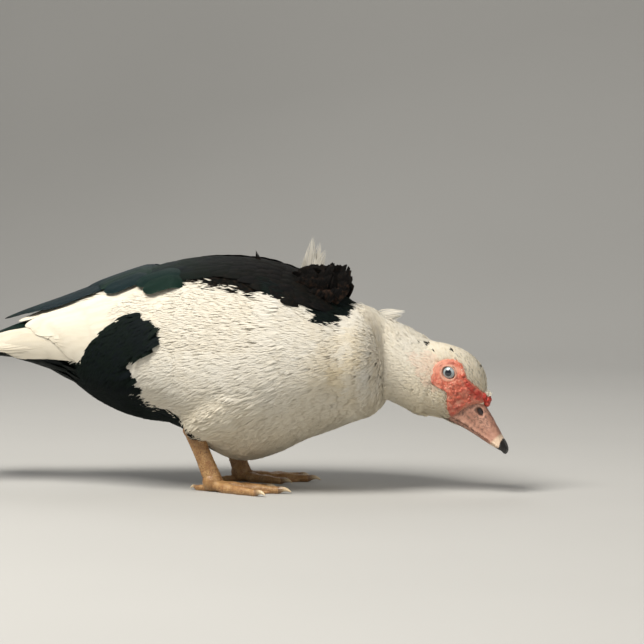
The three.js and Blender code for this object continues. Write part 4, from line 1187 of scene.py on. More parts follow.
def body_coats(look):
    """The body's soft feathers, in pieces: breast, right and left flank, and the dark rear. Along
    the lower edge of the wings they stand higher, because they lie over them."""
    along, across = 1.7 * look.feather_spacing, 0.62 * look.feather_spacing
    end = BREAST_X + BREAST_ROUND * 1.5
    station, angle = staggered(body_point, -194, end, along, across, 21)
    places = body_point(station, angle, -BODY_COAT)
    rear = rear_places(places).astype(float)
    hidden = under_wing(station, angle) & (rear < 0.5)
    hidden |= inside_neck(places, 2.0) | inside_thigh(places, 9.0)
    hidden |= (np.abs(angle) < 33) & (station < 84)
    station, angle, places, rear = kept(~hidden, station, angle, places, rear)
    dark = dark_places(places)
    cream = cream_and_shade_places(places)
    front = ease(20, 110, station)
    half = 3.3 - 0.6 * front + 1.3 * rear + 0.9 * ease(98, 128, station)
    over_wing = ease(114, 94, np.abs(angle)) * ease(62, 44, station) * ease(-132, -118, station)
    coat = BODY_COAT + (2.6 + 4.4 * rear) * over_wing - 1.2 * ease(60, 95, station)
    way = body_way(station, angle, rear, places)
    layout = (places, body_patch(station, angle), way, 30 - 11 * front, half, coat)
    white = dark < 0.5
    parts = {
        "breast": white & (station > 52),
        "flank_right": white & (station <= 52) & (angle < 0),
        "flank_left": white & (station <= 52) & (angle >= 0),
        "rear": ~white,
    }
    for index, (part, mask) in enumerate(parts.items()):
        shell = Shell()
        marks = {"dark": dark[mask], "cream": cream[mask], "gloss": 0.3 * dark[mask]}
        grow_coat(
            shell, *kept(mask, *layout), STRAND, 100 + 10 * index, marks, fan=3.4, lift=0.25,
            strands=5 if part == "rear" else look.strands, steep=0.5 + 0.5 * over_wing[mask],
        )
        slot = "dark_plumage" if part == "rear" else "white_plumage"
        shell.build(f"coat_{part}", plumage_material(look))


def thigh_coats(look):
    """Feathers of the thighs, down to the hocks."""
    for name, leg in LEGS.items():
        shell = Shell()
        side = leg["side"]
        surface = partial(thigh_point, leg)
        run, angle = staggered(surface, 0.4, len(THIGH) - 0.12, 4.6, 2.9, 41 + side)
        places = surface(run, angle, -THIGH_COAT)
        run, angle, places = kept(~inside_body(places, BODY_COAT + 3), run, angle, places)
        marks = {"dark": dark_places(places), "cream": 0.3 + 0.5 * cream_and_shade_places(places)}
        length = 22 - 11 * ease(1.6, 4.0, run)
        round_share = 0.03 + 0.4 * (angle + 180) / 360 + 0.25 * (side + 1)
        patch = np.stack([0.4 + 0.04 * run, round_share], axis=-1)
        grow_coat(
            shell, places, patch, (-0.62, 0.0, -0.75), length, 3.4 - 0.3 * run, THIGH_COAT, STRAND,
            150 + side, marks, swing=7.0, strands=5, lift=0.45,
        )
        shell.build(f"coat_thigh_{name}", plumage_material(look))


# Small black flecks of the nape and the crown, seen from the side: x, z, radius
FLECKS = np.array([
    [155.1, 139.8, 1.0], [157.4, 136.6, 0.9], [160.4, 133.6, 1.0], [161.8, 130.5, 0.9],
    [164.8, 126.8, 0.9], [158.9, 126.8, 0.9], [169.4, 121.3, 1.0], [184.6, 123.3, 0.9],
    [209, 107.8, 0.8],
])


def flecked(places):
    """1 where places lie in a black fleck of the nape or the crown, on the right and on top."""
    distance = np.linalg.norm(places[:, None, [0, 2]] - FLECKS[None, :, :2], axis=-1)
    return ((distance < FLECKS[None, :, 2]).any(axis=1) & (places[:, 1] < 5)).astype(float)


def pinkness(places, source):
    """How much pink skin shows through the thin feathers behind and below the bare face."""
    local = to_head(places)
    near = inside_outline(local, THIN_OUTLINE) * ease(-46, -26, local[:, 0])
    return 0.55 * near * source.uniform(0.2, 1.0, len(places))


def neck_coats(look):
    """Feathers of the neck, smaller towards the head and raised a little on the nape, with a few
    black flecks there."""
    run, angle = staggered(neck_point, 0, NECK_LENGTH - 4, 3.4, 1.5, 61)
    places = neck_point(run, angle, neck_flare(run, angle) - NECK_COAT)
    keep = ~inside_body(places, 6.0) & ~inside_head(places, 2.5)
    run, angle, places = kept(keep, run, angle, places)
    share = run / NECK_LENGTH
    base = ease(0.5, 0.15, share)
    marks = {
        "dark": flecked(places),
        "pink": pinkness(places, draws(62)),
        "cream": 0.12 + cream_and_shade_places(places) * 0.8 + 0.3 * ease(0.5, 1.0, share),
    }
    nape = ease(75, 30, np.abs(angle)) * ease(0.25, 0.4, share) * ease(0.8, 0.5, share)
    raised = nape * (1.2 + 2.0 * draws(63).uniform(0, 1, len(run)) ** 2)
    shell = Shell()
    grow_coat(
        shell, places, neck_patch(run, angle), (-0.93, 0.0, 0.3), 15 - 7 * share + 12 * base,
        1.9 - 0.6 * share + 1.3 * base, NECK_COAT + 2.6 * base + raised, STRAND, 160, marks,
        strands=3,
    )
    shell.build("coat_neck", plumage_material(look))


def inside_outline(places, outline, margin=0.0):
    """Whether places of the head's frame lie inside a closed outline seen from the side, which a
    margin widens: crossings of a level ray, counted."""
    x, z = places[:, :1], places[:, 2:]
    away = outline - outline.mean(axis=0)
    reach = np.linalg.norm(away, axis=1, keepdims=True)
    x1, z1 = (outline.mean(axis=0) + away * (1 + margin / reach)).T
    x2, z2 = np.roll(x1, -1), np.roll(z1, -1)
    level = (z1 > z) != (z2 > z)
    cut = x1 + (z - z1) * (x2 - x1) / np.where(z2 == z1, 1e-9, z2 - z1)
    return (level & (x < cut)).sum(axis=1) % 2 == 1


# Thinly feathered pink skin behind the eye, seen from the side in the head's frame
THIN_OUTLINE = np.array([
    [-39, 0], [-33, 7], [-28, 12], [-20, 16], [-14, 10], [-10, -1], [2, -4], [-2, -9], [-13, -7],
    [-23, -3], [-30, -3],
], float)
# Where the feathers end at the bill: z and x in the head's frame
BILL_BASE = np.array([
    [-30, 30], [-18.5, 28], [-16.5, 18], [-14, 16], [-8, 16], [-7.3, 19], [-3.4, 22], [2.2, 23.5],
    [7.7, 24.5], [11.2, 26], [17, 28], [30, 30],
], float)


def chin_feathers(shell):
    """Adds the tufts under the chin, between the branches of the lower bill, and in place of the
    first of them the small whitish ones in front of the forehead."""
    source = draws(76)
    count = 420
    x = source.uniform(12, 37, count)
    across = source.uniform(-1, 1, count)
    keys = key_curve(LOWER_BILL, x)
    half = (keys[:, 1] - 0.6) * ease(40, 26, x)
    drop = 1.2 * np.sqrt(1 - across**2 * 0.9)
    root = np.stack([x, across * half, keys[:, 0] + 0.9 - drop * 0.3], axis=-1)
    back = -source.uniform(3.5, 6.5, count)
    aside = source.normal(0, 0.4, count)
    tip = root + np.stack([back, aside, -drop - source.uniform(0.2, 0.8, count)], axis=-1)
    top = 120
    side = source.uniform(-1, 1, top)
    forehead = source.uniform(26, 30.5, top)
    root[:top] = np.stack([forehead, 3.4 * side, 18.5 - 1.5 * side**2], axis=-1)
    forward = source.uniform(-2.0, 1.6, top)
    upward = source.uniform(2.2, 4.4, top)
    tip[:top] = root[:top] + np.stack([forward, 1.5 * side, upward], axis=-1)
    knee = (root + tip) / 2 + np.array([0.3, 0, -0.4])
    line = arcs(from_head(root), from_head(knee), from_head(tip), TUFT)
    up = np.where(np.arange(count) < top, 0.8, -1.0)[:, None] * HEAD_AXES[:, 2]
    up = unit(up + np.array([0.05, -0.35, 0.0]))[:, None]
    tone = source.uniform(0, 1, count)
    add_vanes(shell, line, up, 0.55, TUFT, head_patch(x, 180.0 + 0 * x), cream=0.2, tone=tone)


def head_coats(look):
    """Small tufts of the head, round the bare face and up to the bill. A few straggle over the
    face's rear edge, and the crown has faint dark streaks."""
    x, angle = staggered(head_point, -44, 31, 1.45, 1.35, 71)
    places = head_point(x, angle, -HEAD_COAT)
    local = to_head(places)
    source = draws(73)
    bare = inside_outline(local, FACE_OUTLINE, -0.6)
    deep = inside_outline(local, FACE_OUTLINE, -3.4) | (local[:, 0] > 6)
    straggling = bare & ~deep & (source.uniform(0, 1, len(x)) < 0.45)
    in_bill = local[:, 0] > np.interp(local[:, 2], BILL_BASE[:, 0], BILL_BASE[:, 1])
    keep = (~bare | straggling) & ~in_bill & ~inside_neck(places, 3.5)
    x, angle, places, local, over = kept(keep, x, angle, places, local, straggling)
    back = ease(-10, -44, local[:, 0])
    crown = ease(14, 24, local[:, 2]) * ease(-24, -8, local[:, 0])
    marks = {
        "pink": pinkness(places, source),
        "dark": np.maximum(flecked(places), 0.3 * crown * (source.uniform(0, 1, len(x)) > 0.8)),
        "cream": 0.26 + cream_and_shade_places(places) * 0.7 + 0.3 * source.uniform(0, 1, len(x)),
    }
    way = -HEAD_AXES[:, 0] + 0.1 * HEAD_AXES[:, 2]
    shell = Shell()
    grow_coat(
        shell, places, head_patch(x, angle), way, 4.6 + 3.6 * back, 0.7 + 0.45 * back,
        HEAD_COAT + 0.8 * back + 1.3 * over, TUFT, 170, marks, swing=9.0, lift=0.35,
    )
    chin_feathers(shell)
    shell.build("coat_head", plumage_material(look))


# Large feathers: wings, scapulars, tail

# Height of a large feather's root over the closed wings' surface, how far a feather is tilted
# round its shaft, and the level up to which the ruffled feathers stand
QUILL_LIFT = -2.5
VANE_TILT = 5.0
RUFFLE_TOP = 204.5

PLUME_RINGS = np.sin(np.linspace(0.03, 0.985, 22) * np.pi / 2)
COVERT_RINGS = np.sin(np.linspace(0.06, 0.96, 9) * np.pi / 2)


def plume_form(rings, points, blunt, arch, open_at=0.4):
    """Form of a large feather: opens from a narrow root, keeps its width, and rounds off past a
    share of its length like a quarter of an ellipse."""
    past = np.maximum((rings - blunt) / (1 - blunt), 0)
    widths = ease(-0.3, open_at, rings) * np.sqrt(np.maximum(1 - past**2, 0.03))
    return Form(rings, widths, points, arch)


FLIGHT = plume_form(PLUME_RINGS, 7, 0.8, 0.12)
GREATER = plume_form(PLUME_RINGS[::2], 7, 0.68, 0.16)
SCAPULAR = plume_form(COVERT_RINGS, 7, 0.55, 0.14, 0.25)
TERTIAL = plume_form(PLUME_RINGS, 9, 0.78, 0.16)
TAIL_FEATHER = plume_form(PLUME_RINGS, 9, 0.82, 0.1)
TAIL_COVERT = plume_form(COVERT_RINGS, 7, 0.55, 0.2, 0.25)

# Rows of a wing's feathers, and of the tertials over it: form, how many, x of the roots, x of the
# upper and the lower tip, the angles of the roots and of the tips from the top, lift, half
# width, and how many notches each edge has and how deep
WING_ROWS = [
    (FLIGHT, 3, -78, (-206, -176), (20, 34), (24, 44), -0.6, 9.8, 3, 0.25),
    (FLIGHT, 11, -72, (-196, -150), (40, 95), (52, 100), 0.6, 9.4, 3, 0.25),
    (GREATER, 11, -58, (-150, -118), (36, 95), (46, 98), 1.1, 9.0, 3, 0.2),
    (GREATER, 12, -38, (-112, -92), (34, 95), (40, 97), 1.4, 8.4, 2, 0.2),
]
TERTIAL_ROWS = [
    (TERTIAL, 2, -36, (-92, -87), (30, 36), (35, 43), 7.2, 8.5, 1, 0.1),
    (TERTIAL, 4, -66, (-142, -121), (10, 22), (12, 35), 6.6, 9.5, 2, 0.15),
    (TERTIAL, 5, -84, (-226, -190), (8, 15), (6, 27), 4.8, 10.0, 2, 0.15),
    (TERTIAL, 4, -84, (-206, -184), (8, 14), (4, 20), 3.6, 10.5, 2, 0.15),
]
PRIMARY_ROWS = 7
SCAPULAR_ROWS = 16


def ragged_edges(count, form, notches, depth, source):
    """Widths of both edges of each feather, with narrow notches where its barbs have parted."""
    edges = np.ones((count, len(form.rings), 2))
    shape = (count, 1, 2)
    for _ in range(notches):
        where = source.uniform(0.35, 0.97, shape)
        deep = source.uniform(0, depth, shape) * (source.uniform(0, 1, shape) < 0.6)
        edges -= deep * np.exp(-(((form.rings[None, :, None] - where) / 0.02) ** 2))
    return edges


def cloak_lines(roots, tips, lift, t):
    """Lines of feathers laid on the closed wings' surface, and the surface's normals along them:
    from root (x, angle) to tip, rising from under the coat to their own lift in the first
    stretch."""
    x = roots[:, :1] * (1 - t) + tips[:, :1] * t
    angle = roots[:, 1:] * (1 - t) + tips[:, 1:] * t
    length = np.abs(tips[:, :1] - roots[:, :1])
    rise = ease(0, np.minimum(26 / length, 0.75), t)
    height = QUILL_LIFT + (np.reshape(lift, (-1, 1)) - QUILL_LIFT) * rise
    return cloak_point(x, angle, height), normals_of(cloak_point, x, angle, height)


def lay_row(shell, side, source, marks, form, count, root_x, tips_x, roots, ends, lift, half,
            notches, depth, stack=0.12):
    """Lays one row of feathers on a wing, from its upper end to its lower, each a little under
    the one before and tilted round its shaft."""
    share = np.linspace(0, 1, count)

    def varied(pair, wobble):
        """Values spread from the first of a pair to the second, with some chance in each."""
        return pair[0] + (pair[1] - pair[0]) * share + source.normal(0, wobble, count)

    root_angle = varied(roots, 0.5)
    end_angle = varied(ends, 0.7)
    root = np.stack([varied((root_x, root_x), 1.0), side * root_angle], axis=-1)
    tip = np.stack([varied(tips_x, 2.0), side * end_angle], axis=-1)
    line, up = cloak_lines(root, tip, lift - stack * np.arange(count), form.steps[None])
    wide = half * source.uniform(0.92, 1.08, count)
    tilt = np.radians(side * VANE_TILT)
    up = up * np.cos(tilt) + np.cross(unit(np.gradient(line, axis=1)), up) * np.sin(tilt)
    tone = source.uniform(0, 1, count)
    edges = ragged_edges(count, form, notches, depth, source)
    patch = body_patch(root[:, 0], root[:, 1])
    add_vanes(shell, line, up, wide, form, patch, edges, tone=tone, **marks)


def wing_feathers(look):
    """Both closed wings: rows of primaries, secondaries and greater coverts, and small coverts."""
    # Painted shade: the cream darkens the smooth wing feathers for the shade that their flat vanes lack
    # between them.
    white = {"cream": 0.42}
    for name, side in SIDES.items():
        shell = Shell()
        source = draws(210 + side)
        for i in range(PRIMARY_ROWS):
            reach = i / (PRIMARY_ROWS - 1)
            lay_row(
                shell, side, source, white, FLIGHT, 5, -112 - 8 * reach,
                (-236 + 20 * reach, -214 + 26 * reach), (76 + 3 * reach, 96), (70 + 3 * reach, 100),
                -2.4 - 0.3 * i, 8.2, 3, 0.3,
            )
        for row in WING_ROWS:
            lay_row(shell, side, source, white, *row)
        shell.build(f"wing_feathers_{name}", plumage_material(look))
        small_coverts(look, name, side)


def small_coverts(look, name, side):
    """Small soft coverts over the front of a wing, which run into the flank's feathers."""
    shell = Shell()
    station, angle = staggered(cloak_point, -166, WING_FRONT + 6, 8.5, 3.1, 221 + side)
    places = cloak_point(station, angle, -BODY_COAT)
    back = -132 + 16 * noise_field(places, 24.0, 222)
    clear = back_edge(station) + 6 * ease(-45, -75, station)
    keep = (station > back) & ((station > -45) | (np.abs(angle) > clear)) & ~rear_places(places)
    keep &= (angle * side > 28) & (angle * side < WING_LOW_EDGE - 4)
    station, angle, places = kept(keep, station, angle, places)
    dark = dark_places(places)
    marks = {
        "dark": dark,
        "cream": 0.15 + 0.4 * cream_and_shade_places(places),
        "gloss": 0.1 * dark,
        "brown": dark,
    }
    over = ease(20, -40, station) * ease(98, 84, np.abs(angle))
    coat = BODY_COAT + 1.2 + (1.9 + 1.4 * ease(-40, -90, station)) * over
    length = 46 - 14 * ease(-140, -70, station) - 13 * ease(-70, 60, station)
    grow_coat(
        shell, places, body_patch(station, angle), (-1.0, 0.0, -0.14), length, 3.3, coat, STRAND,
        230 + side, marks, swing=4.0, strands=look.strands, fan=3.0, lift=0.25,
        steep=0.55 + 0.35 * ease(-60, -110, station),
    )
    shell.build(f"coverts_{name}", plumage_material(look))


def back_feathers(look):
    """Dark scapulars in rows, and the long tertials behind them, over both wings."""
    for name, side in SIDES.items():
        shell = Shell()
        source = draws(240 + side)
        for i in range(SCAPULAR_ROWS):
            share = i / (SCAPULAR_ROWS - 1)
            root = 84 - 150 * share
            tip = root - 26 - 38 * share
            low = back_edge(tip) - 5 * ease(24, -16, tip)
            # Brown: partly wear, partly painted highlight on the front scapulars.
            marks = {"dark": 1.0, "gloss": 0.06 + 0.7 * share**3, "brown": 0.45 * (1 - share)}
            lay_row(
                shell, side, source, marks, SCAPULAR, 7, root, (tip, tip + 5), (15, low - 3),
                (14, low + 1), 1.6 + 3.4 * share, 5.0 + 1.6 * share, 3, 0.4, 0.1,
            )
        for row in TERTIAL_ROWS:
            lay_row(shell, side, source, {"dark": 1.0, "gloss": 0.85, "brown": 0.3}, *row)
        shell.build(f"scapular_feathers_{name}", plumage_material(look))


def mantle_feathers(look):
    """Dark body feathers between the scapulars, from the shoulders to the rump."""
    shell = Shell()
    station, angle = staggered(body_point, -150, 90, 5.6, 5.2, 251)
    station, angle = kept(np.abs(angle) < 24 + 6 * ease(-90, -140, station), station, angle)
    places = body_point(station, angle, -BODY_COAT)
    marks = {
        "dark": dark_places(places),
        "cream": 0.1,
        "gloss": 0.12 + 0.5 * ease(20, -100, station),
        # Brown towards the shoulders: partly wear, partly painted highlight.
        "brown": 0.5 * ease(-100, 20, station),
    }
    coat = BODY_COAT + 0.6 + 2.6 * ease(20, -50, station) - 2.4 * ease(14, 24, np.abs(angle))
    grow_coat(
        shell, places, body_patch(station, angle), (-1.0, 0.0, 0.0), 26.0, 5.0, coat, SMOOTH, 252,
        marks,
    )
    shell.build("coat_mantle", plumage_material(look))


FINGER = Form([0.12, 0.3, 0.5, 0.7, 0.86], [0.6, 0.9, 1.0, 0.8, 0.45], 3, 0.3)
ROUND_FINGER = Form([0.12, 0.3, 0.5, 0.75, 0.95], [0.6, 0.9, 1.0, 1.0, 0.7], 3, 0.3)


def split_feather(shell, root, tip, wide, bow, face, blunt, patch, source, marks, fingers):
    """One feather whose barbs have parted into fingers: they leave the root together, spread to
    the feather's width and end on its outline, which is a point or, if blunt, a rounded end."""
    share = np.linspace(-1, 1, fingers) + source.normal(0, 0.06, fingers)
    way = unit(tip - root)
    side = unit(np.cross(way, face))
    aside = side * (share * wide)[:, None]
    start = root + aside * 0.25
    depth = (0.3 - 0.1 * blunt) * np.abs(share) ** (1.5 + 0.5 * blunt)
    short = (depth + 0.04 * source.uniform(0, 1, fingers)) * np.linalg.norm(tip - root)
    end = tip + aside * (0.6 + 0.4 * blunt) - way * short[:, None]
    knee = (start + end) / 2 + aside * (0.9 - 0.2 * blunt) + bow
    knee += face * source.normal(0, 0.4, fingers)[:, None]
    end -= face * (0.25 * wide * share**2)[:, None]
    form = ROUND_FINGER if blunt > 0.5 else FINGER
    tone = source.uniform(0, 1, fingers)
    half = (1.6 + 0.5 * blunt) * wide / fingers
    patch = np.tile(patch, (fingers, 1))
    add_vanes(shell, arcs(start, knee, end, form), face, half, form, patch, tone=tone, **marks)


# Curled feathers on the near side of the ruffle: station, angle, how high and how far ahead the tip
# stands, and how strong its brown is: painted highlight where the light shines through the curled feather,
# partly worn brown
CURLS = [
    (80, -10, 25, 9, 0.3), (82, -18, 20, 9, 1.0), (80, -26, 16, 9, 1.8), (74, -20, 22, 5, 0.4),
    (68, -24, 19, 3, 0.9), (62, -25, 16, 2, 1.2), (57, -22, 15, 0, 0.5), (53, -25, 12, 1, 1.2),
    (74, -30, 13, 7, 1.6), (66, -31, 11, 5, 1.2),
]


def ruffled_feathers(look):
    """Ruffled dark mantle that the wind lifts: soft feathers that stand up and curl forward with
    rounded ends, up to one level. Farther back stands one thin spike."""
    shell = Shell()
    source = draws(261)
    count = 96
    station = source.uniform(47, 80, count)
    angle = source.uniform(-25, 32, count)
    order = np.argsort(station)
    station, angle = station[order], angle[order]
    share = (station - 47) / 33
    edge = 1 - 0.45 * np.abs(angle) / 36
    room = RUFFLE_TOP - body_point(station, 0.0)[:, 2]
    heights = room * edge * source.uniform(0.66, 1.04, count)
    roots = body_point(station, angle, -BODY_COAT)
    out = unit(0.6 * normals_of(body_point, station, angle) + np.array([0.0, 0.0, 1.0]))
    patch = body_patch(station, angle)
    # Brown on the ruffle: painted highlight where light catches the ruffled feathers.
    marks = {"dark": 1.0, "gloss": 0.03, "brown": 0.5}
    for k in range(count):
        ahead = 2.5 - 2.5 * share[k] + source.normal(0, 2.0)
        lean = np.array([ahead, 0.1 * angle[k] + source.normal(0, 2), 0])
        rise = out[k] * heights[k]
        turn = math.radians(source.uniform(-125, -60))
        face = unit(np.array([math.cos(turn), math.sin(turn), 0.45]))
        split_feather(
            shell, roots[k], roots[k] + rise + lean, source.uniform(4.0, 6.0),
            rise * 0.35 - lean * 0.5, face, 1.0, patch[k], source, marks, 11,
        )
    face = unit(np.array([0.25, -1.0, 0.35]))
    bow = np.array([0, -2.5, 3.0])
    for x, turn, high, ahead, worn_and_lit in CURLS:
        root = body_point(x, turn, -BODY_COAT)
        split_feather(
            shell, root, root + np.array([ahead, -2.0, high]), 5.5, bow, face, 1.0,
            body_patch(x, turn), source, dict(marks, brown=worn_and_lit), 13,
        )
    spike = body_point(11.0, -8.0, -BODY_COAT)
    split_feather(
        shell, spike, spike + np.array([-3.0, -1.0, 15.0]), 2.0, np.zeros(3),
        np.array([0.0, -1.0, 0.1]), 0.0, body_patch(11.0, -8.0), source, marks, 7,
    )
    shell.build("ruffled_mantle", plumage_material(look))
    white_tufts(look, source)


def white_tufts(look, source):
    """White tufts on the far shoulder that the wind blows up and forward."""
    shell = Shell()
    face = unit(np.array([0.2, -0.95, 0.25]))
    for tufts, station, angle in ((TUFT_HIGH, 40.0, 42.0), (TUFT_FRONT, 92.0, 44.0)):
        for root, tip, wide, bow in tufts:
            split_feather(
                shell, np.array(root, float), np.array(tip, float), wide, bow, face, 0.25,
                body_patch(station, angle), source, {}, 25,
            )
    shell.build("shoulder_tufts", plumage_material(look))


def tail_line(across, reach, lift):
    """Point of the tail's fan: out from its base by a reach, turned by the spread."""
    pitch = math.radians(TAIL_PITCH)
    yaw = np.radians(TAIL_SPREAD * across)
    return TAIL_BASE + np.stack([
        -reach * np.cos(yaw) * math.cos(pitch),
        13 * across + reach * np.sin(yaw),
        -reach * math.sin(pitch) - 5 * across**2 + lift,
    ], axis=-1)


def tail_feathers(look):
    """The tail: eighteen broad dark feathers, the middle ones on top, with coverts over and
    under their roots."""
    shell = Shell()
    source = draws(271)
    count = 18
    across = np.linspace(-1, 1, count)
    length = TAIL_LENGTH * (1 - 0.12 * across**2) + source.normal(0, 1.5, count)
    reach = length[:, None] * TAIL_FEATHER.steps
    line = tail_line(across[:, None], reach, -4.5 * np.abs(across)[:, None])
    sideways = 0.25 * across - 0.1 * np.sign(across)
    up = unit(np.stack([0.17 + 0 * across, sideways, 1 + 0 * across], axis=-1))[:, None]
    patch = np.stack([0.004 + 0 * across, 0.5 + 0.3 * across], axis=-1)
    tone = source.uniform(0, 0.7, count)
    edges = ragged_edges(count, TAIL_FEATHER, 3, 0.25, source)
    add_vanes(shell, line, up, 9.0, TAIL_FEATHER, patch, edges, dark=1.0, gloss=0.8, tone=tone)
    for over in (True, False):
        for row in range(4):
            tail_coverts(shell, source, over, row)
    shell.build("tail_feathers", plumage_material(look))


def tail_coverts(shell, source, over, row):
    """Adds one row of coverts over or under the roots of the tail's feathers."""
    count = 9
    across = np.linspace(-1, 1, count) + source.normal(0, 0.03, count)
    station = np.full(count, -140.0 - 12 * row)
    turn = 50 * across if over else 180 - 56 * across
    start = body_point(station, turn, -3.0)
    reach = (26 + 16 * row) + source.normal(0, 2, count)
    end = tail_line(0.85 * across, reach, 5 - row if over else -8 + row - 2 * (1 - across**2))
    upward = 1.0 if over else -1.0
    knee = start * 0.55 + end * 0.45
    knee[:, 2] += 4 * upward
    up = unit(np.stack([0.2 + 0 * across, 0.5 * across, upward + 0 * across], axis=-1))[:, None]
    tone = source.uniform(0, 0.8, count)
    edges = ragged_edges(count, TAIL_COVERT, 2, 0.3, source)
    add_vanes(
        shell, arcs(start, knee, end, TAIL_COVERT), up, 9.5, TAIL_COVERT, body_patch(station, turn),
        edges, dark=1.0, gloss=0.7 if over else 0.2, tone=tone,
    )


# Head

# Reach of the lids from the eye's middle, and depth of the bare face's back under the surface
LID_REACH = 6.15
FACE_DEPTH = 3.2


def lid_curve(turn, reach):
    """Opening of the lids seen from the side, from the eye's middle: an ellipse that is drawn
    out into a point at its front and rear corners."""
    angle = np.radians(turn)
    corner = 1 + 0.07 * np.abs(np.cos(angle)) ** 7
    return np.stack([reach * corner * np.cos(angle), 0.93 * reach * np.sin(angle)], axis=-1)


def eye_height():
    """How far out the eyeball's middle lies."""
    return float(head_side(EYE_X, EYE_Z)) + FACE_RAISED + EYE_PROUD - EYE_RADIUS


def face_relief(x, z, side):
    """Height of the bare face over the head's side, seen from the side: small bulbs all over,
    fine wrinkles round the eye, a hollow under its lids, and larger bulbs in the caruncle
    rows."""
    flat = np.stack([x, 0 * x + 40.0 * side, z], axis=-1)
    level = flat * np.array([1, 0.001, 1])
    distance = np.hypot(x - EYE_X, z - EYE_Z)
    pebbles = np.clip(1 - cell_field(level, 2.7, 31 + side)[0] * 1.35, 0, 1) ** 0.8
    fine = np.clip(1 - cell_field(level, 1.15, 37 + side)[0] * 1.4, 0, 1)
    height = FACE_RAISED + 1.05 * pebbles * (0.25 + 0.75 * ease(-4, 14, x)) + 0.34 * fine
    folds = np.sin((distance - 6.5) * 2.6 + 0.6 * noise_field(flat, 9.0, 33))
    height += 0.2 * folds * ease(14, 8, distance) - 1.1 * ease(11.5, 6.8, distance)
    height += 0.5 * noise_field(flat, 8.0, 35)
    for start, end, count, small, big in CARUNCLE_ROWS:
        for i in range(count):
            t = i / (count - 1)
            bulb_x = start[0] + (end[0] - start[0]) * t + 0.7 * math.sin(9 * i + start[0])
            bulb_z = start[1] + (end[1] - start[1]) * t + 0.7 * math.cos(7 * i)
            radius = (small + (big - small) * t) * (1 + 0.15 * math.sin(5 * i))
            away = np.hypot(x - bulb_x, z - bulb_z) / radius
            bulb = 0.95 * np.sqrt(np.maximum(1 - away**2, 0)) - 0.1
            height = np.maximum(height, FACE_RAISED + radius * bulb)
    return height


def closed_outline(points, count):
    """Smooth closed curve through a loop of points: a cubic from point to point."""
    loop = np.vstack([points, points[:3]])
    keys = np.column_stack([np.arange(len(loop)), loop])
    at = np.linspace(1, len(points) + 1, count, endpoint=False)
    return key_curve(keys, at)


def face_grid(side, rows=70, columns=220):
    """Places of the bare face from the lids' opening to its outline, and their heights."""
    eye = np.array([EYE_X, EYE_Z])
    outline = closed_outline(FACE_OUTLINE, columns)
    away = outline - eye
    turn = np.degrees(np.unwrap(np.arctan2(away[:, 1], away[:, 0])))
    inner = eye + lid_curve(turn, LID_REACH + 0.05)
    share = np.linspace(0, 1, rows)[:, None]
    s = share[..., None] ** 1.15
    x, z = np.moveaxis(inner[None] * (1 - s) + outline[None] * s, -1, 0)
    height = face_relief(x, z, side) * (1 - ease(0.9, 1.0, share)) - 1.6 * ease(0.93, 1.0, share)
    return x, z, height, share


def bare_face(shell, side):
    """Adds the bare skin of one side of the head, closed behind, with three marks: how red it
    is, the rim at the lids, and how faded it is."""
    x, z, height, share = face_grid(side)
    surface = head_side(x, z)
    top = from_head(np.stack([x, side * (surface + height), z], axis=-1))
    back = from_head(np.stack([x, side * (surface - FACE_DEPTH), z], axis=-1))
    rows, columns = x.shape
    count = rows * columns
    points = np.concatenate([top.reshape(-1, 3), back.reshape(-1, 3)])
    front = grid_faces(rows, columns, True)
    ring = np.arange(columns)
    inner = np.stack([ring, (ring + 1) % columns], axis=-1)
    inner = np.column_stack([inner, inner[:, ::-1] + count])
    outer = inner[:, ::-1] + count - columns
    faces = np.concatenate([front, front[:, ::-1] + count, halves(inner), halves(outer)])
    bulb = np.clip((height - FACE_RAISED) / 1.6, 0, 1)
    red = 0.12 + 0.35 * bulb + 0.6 * ease(0, 18, x) * ease(6, 15, z)
    red += 0.25 * ease(12, 22, x) * ease(4, -10, z) - 0.1 * ease(-6, -16, x)
    marks = {
        "red": np.clip(red, 0, 1),
        "ring": ease(7.9, 6.6, np.hypot(x - EYE_X, z - EYE_Z)),
        "faded": np.clip(ease(-9, -19, x) + 0.8 * ease(0.88, 1.0, share), 0, 1),
    }
    shell.add(points, outward(points, faces), **{name: np.tile(v.ravel(), 2) for name, v in marks.items()})


def lids(shell, side):
    """Adds the thin lids: a rounded rim along their opening, which rests on the eyeball."""
    turn = np.linspace(0, 360, 96, endpoint=False)
    lid = lid_curve(turn, LID_REACH)
    distance = np.minimum(np.hypot(lid[:, 0], lid[:, 1]), 7.6)
    level = eye_height() + np.sqrt(EYE_RADIUS**2 - distance**2) + 0.5
    path = from_head(np.stack([EYE_X + lid[:, 0], side * level, EYE_Z + lid[:, 1]], axis=-1))
    centre = path.mean(axis=0)
    out = side * HEAD_AXES[:, 1]
    angle = np.linspace(0, 2 * np.pi, 12, endpoint=False)[None, :, None]
    wave = 1 + 0.1 * np.sin(np.radians(turn) * 11)[:, None, None]
    aside = unit(path - centre)[:, None] * 0.75 * np.cos(angle) * wave
    points = path[:, None] + aside + out * 0.6 * np.sin(angle)
    faces = grid_faces(*points.shape[:2], True, True)
    points = points.reshape(-1, 3)
    shell.add(points, outward(points - centre, faces), red=0.3, ring=1.0)


def knob(shell):
    """Adds the knob between forehead and bill: round bulbs grown together."""
    turn = np.linspace(0, 2 * np.pi, 40, endpoint=False)[None]
    rise = np.linspace(-np.pi / 2 + 0.06, np.pi / 2 - 0.06, 26)[:, None]
    way = ball(rise, turn)
    for k, (x, y, z, radius) in enumerate(KNOB_BULBS):
        grain = 0.16 * np.clip(1 - cell_field(way * radius + k * 9, 1.9, 51)[0] * 1.3, 0, 1)
        bumpy = radius * (1 + grain + 0.04 * noise_field(way * radius, 4.0, 52 + k))
        add_loft(shell, from_head(np.array([x, y, z]) + way * bumpy[..., None]), red=1.0)


